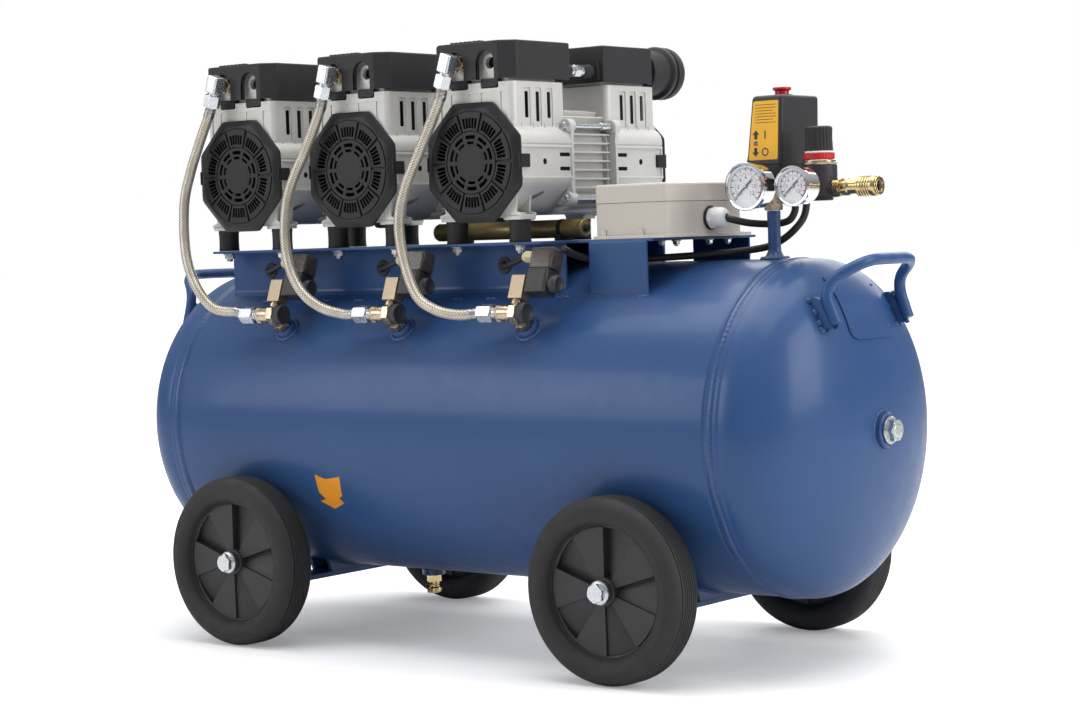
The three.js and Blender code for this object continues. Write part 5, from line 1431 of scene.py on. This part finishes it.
def grille_geo():
    """Octagon grille: sloped skirt, raised ring with ten sectors of slots, two rings of dashes, plain centre."""
    AF = 67.5
    octo = lambda h: [(h / math.cos(math.pi / 8) * math.cos(math.pi / 8 + k * TAU / 8), HUB_Z + h / math.cos(math.pi / 8) * math.sin(math.pi / 8 + k * TAU / 8)) for k in range(8)]
    g = Geo()
    # skirt as a lofted octagon frame with a round opening, made of 64 stations
    n = 80

    def oc(h, t):
        m = ((t + math.pi / 8) % (TAU / 8)) - math.pi / 8
        return min(h / math.cos(m), h / math.cos(math.pi / 8) * 0.992)
    st = []
    for k in range(n):
        t = k * TAU / n
        c, s = math.cos(t), math.sin(t)
        P = lambda r, y: Vector((r * c, y, HUB_Z + r * s))
        st.append([P(oc(AF, t), -136.3), P(oc(AF, t), -138.9), P(oc(AF - 0.5, t), -139.4), P(oc(AF - 4.6, t) * 0.985, -142.6), P(60.2, -143.6), P(58.4, -143.4), P(58.0, -142.4), P(57.2, -142.4), P(56.4, -142.4), P(56.4, -136.3)])
    m = len(st[0])
    F = []
    for k in range(n):
        k2 = (k + 1) % n
        for j in range(m):
            j2 = (j + 1) % m
            F.append((k * m + j, k2 * m + j, k2 * m + j2, k * m + j2))
    g.add([p for r in st for p in r], F)
    # sector plates with slots: ten, one centred at the top, grooves between
    for k in range(10):
        c = math.pi / 2 + k * TAU / 10
        gap = 0.03
        a0, a1 = c - TAU / 20 + gap, c + TAU / 20 - gap
        out = sector(36.2, 57.2, a0, a1, 8)
        holes = []
        for j in range(5):
            t = c + (j - 2) * 0.094
            ct, st_ = math.cos(t), math.sin(t)
            w = 1.5
            holes.append([(ct * r - st_ * ww, HUB_Z + st_ * r + ct * ww) for r, ww in ((38.9, -w), (50.4, -w * 1.12), (50.4, w * 1.12), (38.9, w))])
        g.join(beveled(prism("y", out, -144.2, -140.2, holes), 0.35, 2, 45))
    # backing ring under the grooves
    def ring(r0, r1, y0, y1, n_=72, holes=()):
        ro, ri = circle(r1, n_, 0, HUB_Z), list(reversed(circle(r0, n_, 0, HUB_Z)))
        return prism("y", ro, y0, y1, [ri] + list(holes))
    bars = []
    for k in range(10):
        c = math.pi / 2 + k * TAU / 10
        for j in range(5):
            t = c + (j - 2) * 0.094
            ct, st_ = math.cos(t), math.sin(t)
            w = 1.62
            bars.append([(ct * r - st_ * ww, HUB_Z + st_ * r + ct * ww) for r, ww in ((38.7, -w), (50.7, -w * 1.12), (50.7, w * 1.12), (38.7, w))])
    g.join(ring(34.0, 57.0, -141.6, -139.4, 72, bars))
    # centre: two rings of dashes and a plain disc
    dash = []
    for k in range(10):
        c = math.pi / 2 + k * TAU / 10
        dash.append(sector(27.0, 31.2, c - 0.235, c + 0.235, 5))
        dash.append(sector(20.9, 24.1, c - 0.215, c + 0.215, 4))
    disc = prism("y", circle(34.9, 80, 0, HUB_Z), -143.9, -140.0, dash)
    g.join(beveled(disc, 0.3, 2, 45))
    g.join(lathe((0, 0, HUB_Z), (0, -1, 0), [(0, 143.6), (17.6, 143.6), (18.2, 143.9), (18.0, 144.15), (0, 144.2)], 56))
    g.join(lathe((0, 0, HUB_Z), (0, -1, 0), [(0, 144.1), (1.6, 144.1), (1.3, 144.45), (0, 144.5)], 16))
    # clips on both sides
    for s in (-1, 1):
        x0, x1 = sorted((s * 61.6, s * 68.6))
        g.join(beveled(box(x0, x1, -138.5, -122.5, HUB_Z - 7.5, HUB_Z + 7.5), 0.8, 2))
        x0, x1 = sorted((s * 66.0, s * 67.6))
        g.join(beveled(box(x0, x1, -141.5, -136.0, HUB_Z - 8, HUB_Z + 8), 0.5, 2))
    return g


def frame_geo():
    g = prism("y", rrect(-51, 51, HUB_Z - 51, HUB_Z + 51, 24, 10), -39.6, 39.6, [list(reversed(circle(46, 48, 0, HUB_Z)))])

    def fin(px, pz, dx, dz, L=10.5, w0=1.7, w1=1.05):
        nx, nz = -dz, dx
        q = [(px + nx * w0, pz + nz * w0), (px - nx * w0, pz - nz * w0), (px - nx * w1 + dx * L, pz - nz * w1 + dz * L), (px + nx * w1 + dx * L, pz + nz * w1 + dz * L)]
        return beveled(prism("y", q, -39.2, 39.2), 0.45, 2)
    for k in range(7):
        o = -30.6 + k * 10.2
        for s in (-1, 1):
            g.join(fin(s * 49.5, HUB_Z + o, s, 0))
            g.join(fin(o, HUB_Z + s * 49.5, 0, s))
    for q in (45, 135, 225, 315):
        for d in (-22, 0, 22):
            a = math.radians(q + d)
            cx_, cz_ = 28.0 * math.copysign(1, math.cos(math.radians(q))), 28.0 * math.copysign(1, math.sin(math.radians(q)))
            g.join(fin(cx_ + 21.5 * math.cos(a), HUB_Z + cz_ + 21.5 * math.sin(a), math.cos(a), math.sin(a), 11.5))
    for s in (-1, 1):
        y0, y1 = sorted((s * 36.4, s * 39.7))
        g.join(beveled(prism("y", rrect(-57, 57, HUB_Z - 57, HUB_Z + 40, 20, 8), y0, y1, [list(reversed(circle(46.5, 48, 0, HUB_Z)))]), 0.6, 2, 40))
    return g


def fan_geo(y0, y1, s):
    g = Geo()
    g.join(rod((0, y0, HUB_Z), (0, y1, HUB_Z), 17, 32, ch=1))
    g.join(lathe((0, (y0 + y1) / 2, HUB_Z), (0, 1, 0), [(12, -s * 6.8), (50, -s * 6.8), (50, -s * 5.4), (12, -s * 5.4), (12, -s * 6.8)], 48))
    for k in range(11):
        a = k * TAU / 11
        P = []
        for r, t in ((16, 0.0), (30, 0.14), (42, 0.22), (49.5, 0.26)):
            P.append((r, a + t))
        V = []
        for r, t in P:
            for dt in (-0.9 / r, 0.9 / r):
                for yy in (y0 + 0.6, y1 - 0.6):
                    V.append((r * math.cos(t + dt), yy, HUB_Z + r * math.sin(t + dt)))
        F = []
        for j in range(3):
            b = j * 4
            F += [(b, b + 4, b + 5, b + 1), (b + 2, b + 3, b + 7, b + 6), (b, b + 2, b + 6, b + 4), (b + 1, b + 5, b + 7, b + 3)]
        F += [(0, 1, 3, 2), (12, 14, 15, 13)]
        g.add(V, F)
    return g


def braid_fn(r, turns_pitch=17.0, carriers=9):
    """Radius and painted weave shade of a braided tube: two sets of flat strands that cross; the shade value is low in
    the gaps between strands and wires and high on their crowns.
    """
    def fn(i, t, s):
        A = carriers * (t / TAU) + s / turns_pitch * carriers / 2
        B = carriers * (t / TAU) - s / turns_pitch * carriers / 2
        a, b = abs(math.sin(math.pi * A)), abs(math.sin(math.pi * B))
        over = math.sin(math.pi * (math.floor(A) + math.floor(B))) if False else (1 if (math.floor(A) + math.floor(B)) % 2 == 0 else -1)
        wires = 0.5 + 0.5 * math.cos(TAU * 3 * (A if over > 0 else B))
        prof = (a if over > 0 else b) ** 0.5
        other = (b if over > 0 else a) ** 0.5
        h = 0.34 * prof * other + 0.08 * wires * prof
        # painted shade and highlight: the second value darkens the gaps between strands and wires and lightens their
        # crowns
        return (r - 0.3 + h, min(1.0, 0.15 + 0.6 * prof * other + 0.25 * wires * prof))
    return fn


HOSES = [
    [[-32.6, -157, 637.7], [-48.3, -160, 603.4], [-61.2, -164, 568.8], [-68.1, -169, 533.9], [-64.4, -175, 486.8], [-52.7, -180, 451.5], [-33.4, -181, 420.9], [-11.8, -177, 401.9], [17.5, -170.5, 397.9]],
    [[-33.3, -157, 629.5], [-52.6, -160, 590.1], [-69.1, -164, 559.2], [-78.6, -169, 527.9], [-78.0, -175, 487.2], [-67.2, -180, 450.9], [-47.5, -181, 421.3], [-21.3, -177, 402.9], [8.8, -170.5, 394.6]],
    [[-36.0, -157, 627.8], [-62.9, -160, 577.2], [-81.4, -164, 538.9], [-89.0, -169, 500.1], [-78.5, -175, 456.3], [-56.5, -180, 416.0], [-29.9, -181, 399.7], [-1.9, -177, 393.3], [21.3, -170.5, 393.8]],
]
VALVE = Vector((75.5, -168, 394.5))
TILT = math.radians(20)
CT, ST = math.cos(TILT), math.sin(TILT)


def at(x, u, n):
    return Vector((VALVE.x + x, VALVE.y + u * ST - n * CT, VALVE.z + u * CT + n * ST))


def tilted(g):
    """Maps (x, n, u) of an upright piece onto the leaning valve."""
    return g.map(lambda x, n, u: tuple(at(x, u, n)))


def hose_set(i, cx):
    H = HOSES[i]
    top = H[0]
    hx = top[0] + 20
    L = math.hypot(hx, top[2] - 674)
    ux, uz = hx / L, (top[2] - 674) / L
    q = lambda t: Vector((-20 + ux * t, -156, 674 + uz * t))
    # elbow on the head port
    g = lathe((-20, 0, 674), (0, -1, 0), [(0, 128.4), (7.4, 128.4), (7.4, 133), (8.0, 133.6), (8.0, 138.5), (7.2, 139.4), (7.2, 149), (0, 149)], 40)
    g.join(hexa((-20, -132.5, 674), (-20, -140.5, 674), 9.6, ch=0.7))
    make(f"unit_{i + 1}_port_fitting", g.move(cx), NICKEL)
    # square elbow body, lined up with the hose
    dx, dz = ux, uz
    blk = rbox(-8.2, 8.2, -8.2, 8.2, -11.5, 9.5, 2.4, 1.6, 1.6)
    blk = blk.map(lambda X, Y, Z: (-20 + dx * Z + dz * X * -1, -156.2 + Y, 674 + dz * Z + dx * X))
    blk.join(lathe((-20, 0, 674), (0, -1, 0), [(0, 145), (7.6, 145), (7.6, 149.5), (0, 149.5)], 36))
    make(f"unit_{i + 1}_elbow", blk.move(cx), BRIGHT)
    g = rod(q(8), q(12.5), 7.0, 28)
    g.join(hexa(q(12), q(27.5), 10.3, ch=1.2, phase=0.55))
    g.join(hexa((26, -168, 394.4), (46, -168, 394.5), 10.5, ch=1.2, phase=0.2))
    g.join(rod((24.6, -168, 394.4), (26.5, -168, 394.4), 7.6, 28, ch=0.4))
    g.join(rod((45, -168, 394.5), (49.4, -168, 394.5), 7.2, 28))
    make(f"unit_{i + 1}_hose_nuts", g.move(cx), BRIGHT)
    pts = [q(26), q(L * 0.9)] + [Vector(p) for p in H[1:]] + [Vector((26, -168, 394.3))]
    path, length = even(catmull(pts, 24), 0.85)
    g = tube(path, 6, 72, fn=braid_fn(6.1))
    make(f"unit_{i + 1}_braid", g.move(cx), BRAID, replaces=[f"unit_{i + 1}_hose"], angle=180, weighted=False)
    # crimped ferrules at both ends
    fe = Geo()
    for seq in (path[:18], list(reversed(path[-18:]))):
        seq2, _ = even([Vector(p) for p in seq], 0.6)
        fe.join(tube(seq2, 6.7, 36, fn=lambda j, t, s: 6.75 - (0.5 if 3.2 < s < 4.6 or 7.4 < s < 8.8 else 0) - (0.35 if s < 0.7 or s > 13.2 else 0)))
    make(f"unit_{i + 1}_ferrules", fe.move(cx), STEEL, slot="zinc")
    return length


def valve_set(i, cx):
    V = VALVE
    n = f"unit_{i + 1}_"
    d = Vector((0, -168, 134.5)).normalized()
    Ld = math.hypot(168, 134.5)
    g = lathe((V.x, V.y, V.z), (1, 0, 0), [(0, -25.7), (7.0, -25.7), (7.6, -25), (7.6, -21), (9.2, -20), (9.5, -19), (9.5, -8), (9.0, -7), (9.0, -4), (9.5, -3), (9.5, 6), (0, 6)], 40)
    g.join(hexa((V.x - 22.5, V.y, V.z), (V.x - 15.5, V.y, V.z), 10.4, ch=0.8, phase=0.1))
    g.join(hexa((V.x - 2, V.y, V.z), (V.x + 7.6, V.y, V.z), 13, ch=1.2, phase=0.3))
    R0 = Vector((V.x, 0, TANK_Z))
    g.join(hexa(R0 + d * 193.4, R0 + d * 201, 10.6, ch=0.9), rod(R0 + d * 200, R0 + d * (Ld - 2), 8.4, 32))
    g.join(rod(at(0, 5, 0), at(0, 17, 0), 5.5, 28), rod(at(0, 9, 0), at(0, 13.5, 0), 6.6, 28, ch=0.6))
    make(n + "valve_body", g.move(cx), NICKEL, replaces=[n + "check_valve"])
    g = lathe((V.x, V.y, V.z), (1, 0, 0), [(0, 7.5), (11, 7.5), (11.5, 8), (11.5, 16.8), (11.0, 17.7), (9.6, 18), (8.9, 17.5), (0, 17.3)], 144, fn=lambda r, a, t: r - (0.5 * max(0.0, math.cos(36 * t)) if r > 11.4 and 8.2 < a < 17 else 0))
    make(n + "valve_cap", g.move(cx), COIL, weighted=False, angle=50)
    # satin bar of the unloader block
    g = tilted(beveled(box(-8, 11.2, -8, 8, 15, 42), 0.7, 2))
    g.join(hexa(at(-9.4, 30, 0), at(-7.6, 30, 0), 3.6, ch=0.3), rod(at(10, 34, -4), at(11.4, 34, -4), 6, 24))
    make(n + "unloader_block", g.move(cx), SATIN)
    # coil, with moulded edges
    g = tilted(rbox(11.3, 40.6, -8, 16, 22, 50.2, 3.0, 1.6, 1.6).map(lambda x, y, z: (x, -y, z)))
    g.join(tilted(beveled(box(13, 39, -16.4, -15.8, 27, 45), 0.2, 1)))
    g.join(tilted(beveled(box(14, 38, 7.6, 8.3, 25.5, 46.5), 0.25, 1)))
    make(n + "coil", g.move(cx), COIL, angle=30)
    # smoke-clear plug connector over contacts
    hull = rbox(11.6, 42.6, -15, 7, 50.6, 74.6, 2.6, 2.2, 0.4)
    hull = csg(hull, cut=[rbox(13.4, 40.8, -13.2, 5.2, 51.6, 72.8, 2.0, 1.4, 0.4)])
    make(n + "plug_connector", tilted(hull).move(cx), SMOKE, angle=30)
    inner = Geo()
    inner.join(beveled(box(15.5, 38.5, -11.2, 3.4, 52.5, 57), 0.6, 2), beveled(box(17, 21, -9, -4, 57, 66), 0.4, 2), beveled(box(24, 28, -9, -4, 57, 68), 0.4, 2), beveled(box(31, 35, -9, -4, 57, 66), 0.4, 2))
    make(n + "contact_block", tilted(inner).move(cx), COIL)
    lamp = tilted(rbox(18, 33, -1.5, 3.6, 62, 70, 1.5, 1.2, 1.0))
    make(n + "indicator", lamp.move(cx), RED)
    lead_c = at(-3, 67, -3)
    g = hexa(at(11.8, 66, -3), at(2.0, 66, -3), 7.2, ch=0.8)
    g.join(lathe(at(2.2, 66, -3), at(-5, 66, -3) - at(2.2, 66, -3), [(0, 0), (6.6, 0), (6.6, 3), (5.9, 4.6), (4.8, 6.6), (3.2, 7.2), (0, 7.2)], 32))
    make(n + "plug_gland", g.move(cx), BEIGE_NUT)
    g = lathe(at(40.2, 34, -4), (1, 0, 0), [(0, 0), (9.4, 0), (10, 0.7), (10, 9.4), (9.2, 10.4), (7.6, 10.8), (6.8, 10.2), (0, 10)], 120, fn=lambda r, a, t: r - (0.45 * max(0.0, math.cos(30 * t)) if r > 9.9 else 0))
    make(n + "coil_nut", g.move(cx), COIL, weighted=False, angle=50)
    pts = [at(-3, 66, -3), at(-12, 64, -6), Vector((V.x - 40, -131, 446)), Vector((10, -108, 446.5)), Vector((6, -90, 446))]
    path, ln = even(catmull(pts, 20), 1.5)
    make(n + "solenoid_lead", tube(path, 3, 18, dome=1).move(cx), CABLE, weighted=False, angle=60)


def units():
    crank = crankcase_geo()
    cov = cover_geo()
    gri = grille_geo()
    frm = frame_geo()
    mirror = lambda g: g.map(lambda x, y, z: (x, -y, z))
    lengths = []
    for i, cx in enumerate(UNIT_X):
        n = f"unit_{i + 1}_"
        for side, tf in (("front", lambda g: g), ("rear", mirror)):
            s = -1 if side == "front" else 1
            # material 1 on the cases is the painted shade lining
            make(n + side + "_case", tf(crank).move(cx), [CAST, SHADE_BLACK], replaces=[n + side + "_crankcase"], angle=32)
            make(n + side + "_cover", tf(cov).move(cx), COVER, replaces=[n + side + "_head_cover"], angle=30)
            make(n + side + "_fan_guard", tf(gri).move(cx), GRILLE, replaces=[n + side + "_grille"], angle=30)
            feet = Geo()
            for q in (-1, 1):
                feet.join(lathe((cx + q * 46, s * 117, 0), (0, 0, 1), [(0, 472.2), (12.3, 472.2), (12.6, 472.9), (12.6, 474.2), (12.3, 474.8), (12.1, 484), (12.3, 493), (12.6, 494), (12.6, 496.6), (12.2, 497.4), (0, 497.4)], 40))
            make(n + side + "_rubber_feet", feet, FOOT)
        g = frm.move(cx)
        make(n + "finned_frame", g, CAST, replaces=[n + "motor_frame"], angle=32)
        g = Geo()
        for sx in (-1, 1):
            for zc in (603, 520):
                x = cx + sx * 61.5
                g.join(rod((x, -46, zc), (x, 46, zc), 2.9, 20))
                g.join(rod((x, 18, zc), (x, 38, zc), 4.4, 24, ch=0.8))
                g.join(lathe((x, -48.4, zc), (0, -1, 0), [(0, 0), (6.4, 0), (6.6, 0.4), (6.6, 1.2), (6.0, 1.6), (0, 1.6)], 28))
                g.join(lathe((x, -49.8, zc), (0, -1, 0), [(0, 0), (4.6, 0), (4.8, 0.4), (4.8, 3.4), (4.4, 3.9), (2.5, 4.0), (2.3, 2.2), (0, 2.2)], 24))
                g.join(hexa((x, 48.4, zc), (x, 52.8, zc), 5.4, ch=0.6), rod((x, 52, zc), (x, 55, zc), 2.9, 16, ch=0.4))
        make(n + "tie_rods", g, BRIGHT)
        # link pipe between the two heads, with its nuts
        g = rod((cx + 41.5, -46, 668), (cx + 41.5, 46, 668), 4.6, 24)
        g.join(hexa((cx + 41.5, -6, 668), (cx + 41.5, 6, 668), 7.6, ch=0.9))
        for q in (-1, 1):
            g.join(rod((cx + 41.5, q * 5, 668), (cx + 41.5, q * 13, 668), 5.8, 28, ch=0.6))
        make(n + "link_pipe", g, BRIGHT)
        g = Geo()
        for q in (-1, 1):
            g.join(lathe((cx + 41.5, 0, 668), (0, q, 0), [(4.7, 12.5), (6.6, 12.5), (7.4, 13.4), (7.4, 22), (8.2, 23.5), (8.2, 27), (7.4, 28), (7.4, 44.6), (4.7, 44.6), (4.7, 12.5)], 36))
            y0, y1 = sorted((q * 28.5, q * 31.6))
            g.join(beveled(prism("y", rrect(cx + 41.5 - 12, cx + 41.5 + 12, 657.5, 679.5, 3, 4), y0, y1, [list(reversed(circle(7.3, 24, cx + 41.5, 668)))]), 0.6, 2))
        make(n + "link_boots", g, FOOT)
        # intake filter behind the rear head
        f = lathe((cx + 24, 0, 672), (0, 1, 0), [(0, 127), (8.2, 127), (8.2, 147), (20, 148), (25.4, 149.4), (26.6, 151.4), (26.8, 176), (27.6, 178.6), (30.5, 180), (32.2, 181.4), (32.4, 184), (32.0, 187.4), (30.4, 188.6), (28.6, 189.2), (28.2, 190.6), (29.0, 192.0),
                                                 (31.2, 192.8), (32.0, 194.4), (32.0, 200.4), (31.2, 203.6), (29.4, 205.4), (26.5, 206), (22, 205.6), (21, 204.8), (0, 204.6)], 72,
                  fn=lambda r, a, t: r - (0.5 * max(0.0, math.cos(40 * t)) if r > 31.9 and 195 < a < 201 else 0))
        make(n + "intake_filter", f, COVER, weighted=False, angle=35)
        # rotor, shaft and fans
        g = lathe((cx, 0, HUB_Z), (0, 1, 0), [(0, -134), (4, -134), (5, -133), (5, -116), (8, -115.4), (8, 115.4), (5, 116), (5, 133), (4, 134), (0, 134)], 28)
        make(n + "shaft", g, STEEL, ROTORS[i + 1])
        g = lathe((cx, 0, HUB_Z), (0, 1, 0), [(8.05, -34), (20, -34), (30, -36), (41, -36), (42, -35), (42, 35), (41, 36), (30, 36), (20, 34), (8.05, 34), (8.05, -34)], 56)
        make(n + "rotor_core", g, LAMINATE, ROTORS[i + 1], replaces=[n + "rotor_and_fans"])
        for s, fn_ in ((-1, "front"), (1, "rear")):
            y0, y1 = sorted((s * 116.2, s * 130.8))
            make(n + fn_ + "_fan", fan_geo(y0, y1, s).move(cx), FAN_AND_SHADE, ROTORS[i + 1], slot="rotor_steel")
        lengths.append(hose_set(i, cx))
        valve_set(i, cx)
    return lengths


HOSE_LENGTHS = units()

# ------------------------------------------------------------- stage and light
def stage():
    n = Nodes("studio_floor")
    b = n.bsdf
    col = n.ramp(n.noise(3.0, 2.0), [(0.3, (0.86, 0.86, 0.862, 1)), (0.7, (0.89, 0.89, 0.89, 1))])
    n.link(col, b.inputs["Base Color"])
    n.link(n.remap(n.noise(20.0, 2.0), 0.5, 0.62), b.inputs["Roughness"])
    b.inputs["Specular IOR Level"].default_value = 0.2
    # painted light: the floor glows for camera rays only, lifting its shadows near the object and brightening into a
    # plain white ground well away from it
    sep = n.node("ShaderNodeVectorMath", operation="LENGTH")
    n.link(n.tc.outputs["Object"], sep.inputs[0])
    lp = n.node("ShaderNodeLightPath")
    mul = n.node("ShaderNodeMath", operation="MULTIPLY")
    n.link(n.remap(sep.outputs["Value"], 0.22, 0.75, 0.55, 2.2), mul.inputs[0])
    n.link(lp.outputs["Is Camera Ray"], mul.inputs[1])
    n.link(mul.outputs[0], b.inputs["Emission Strength"])
    b.inputs["Emission Color"].default_value = (1, 1, 1, 1)
    me = bpy.data.meshes.new("floor")
    R, N = 40.0, 64
    V = [(0, 0, 0)] + [(r * math.cos(t), r * math.sin(t), 0) for r in (1, 4, 12, R) for t in (TAU * k / N for k in range(N))]
    F = [(0, 1 + k, 1 + (k + 1) % N) for k in range(N)]
    for j in range(3):
        F += [(1 + j * N + k, 1 + (j + 1) * N + k, 1 + (j + 1) * N + (k + 1) % N, 1 + j * N + (k + 1) % N) for k in range(N)]
    me.from_pydata(V, [], F)
    me.materials.append(n.mat)
    fl = bpy.data.objects.new("floor", me)
    bpy.context.scene.collection.objects.link(fl)

    w = bpy.data.worlds.new("studio")
    bpy.context.scene.world = w
    w.use_nodes = True
    nt = w.node_tree
    nt.nodes.clear()
    out = nt.nodes.new("ShaderNodeOutputWorld")
    bg = nt.nodes.new("ShaderNodeBackground")
    white = nt.nodes.new("ShaderNodeBackground")
    white.inputs["Strength"].default_value = 1.0
    white.inputs["Color"].default_value = (1, 1, 1, 1)
    mix = nt.nodes.new("ShaderNodeMixShader")
    lp = nt.nodes.new("ShaderNodeLightPath")
    tc = nt.nodes.new("ShaderNodeTexCoord")
    sep = nt.nodes.new("ShaderNodeSeparateXYZ")
    ramp = nt.nodes.new("ShaderNodeValToRGB")
    nt.links.new(tc.outputs["Generated"], sep.inputs[0])
    nt.links.new(sep.outputs["Z"], ramp.inputs["Fac"])
    els = ramp.color_ramp.elements
    els[0].position, els[0].color = 0.0, (0.16, 0.16, 0.17, 1)
    els[1].position, els[1].color = 1.0, (1.0, 1.0, 1.0, 1)
    e = els.new(0.35)
    e.color = (0.55, 0.55, 0.56, 1)
    nt.links.new(ramp.outputs["Color"], bg.inputs["Color"])
    bg.inputs["Strength"].default_value = 0.75
    nt.links.new(lp.outputs["Is Camera Ray"], mix.inputs["Fac"])
    nt.links.new(bg.outputs[0], mix.inputs[1])
    nt.links.new(white.outputs[0], mix.inputs[2])
    nt.links.new(mix.outputs[0], out.inputs["Surface"])

    def area(name, loc, look, size, energy, col=(1, 1, 1)):
        d = bpy.data.lights.new(name, "AREA")
        d.shape, d.size, d.size_y, d.energy, d.color = "RECTANGLE", size[0], size[1], energy, col
        o = bpy.data.objects.new(name, d)
        bpy.context.scene.collection.objects.link(o)
        o.location = loc
        o.rotation_mode = "QUATERNION"
        o.rotation_quaternion = (Vector(look) - Vector(loc)).to_track_quat("-Z", "Y")
        return o
    area("top_box", (0.0, 0.1, 2.7), (0, 0, 0.3), (3.4, 2.2), 75)
    area("front_left", (-2.2, -3.0, 1.6), (0, 0, 0.35), (1.8, 1.8), 34)
    area("right_box", (3.2, 0.6, 1.5), (0.2, 0, 0.4), (1.4, 2.0), 46)
    area("back_box", (-0.6, 3.0, 1.8), (0, 0, 0.4), (2.6, 1.6), 30)


stage()


def camera():
    C = Vector((1.79948, -2.23581, 0.47773))
    yaw, pitch, roll = math.radians(38.32), math.radians(-2.93), math.radians(-1.87)
    fwd = Vector((-math.sin(yaw) * math.cos(pitch), math.cos(yaw) * math.cos(pitch), math.sin(pitch)))
    right = fwd.cross(Vector((0, 0, 1))).normalized()
    up = right.cross(fwd)
    r2 = right * math.cos(roll) + up * math.sin(roll)
    u2 = -right * math.sin(roll) + up * math.cos(roll)
    cam = bpy.data.cameras.new("camera")
    cam.lens, cam.sensor_width, cam.sensor_fit = 80.39, 36.0, "HORIZONTAL"
    cam.clip_start, cam.clip_end = 0.05, 100
    o = bpy.data.objects.new("camera", cam)
    bpy.context.scene.collection.objects.link(o)
    M = Matrix((r2, u2, -fwd)).transposed().to_4x4()
    M.translation = C
    o.matrix_world = M
    bpy.context.scene.camera = o


camera()
vs = bpy.context.scene.view_settings
vs.view_transform, vs.look, vs.exposure, vs.gamma = "Standard", "None", 0.0, 1.0
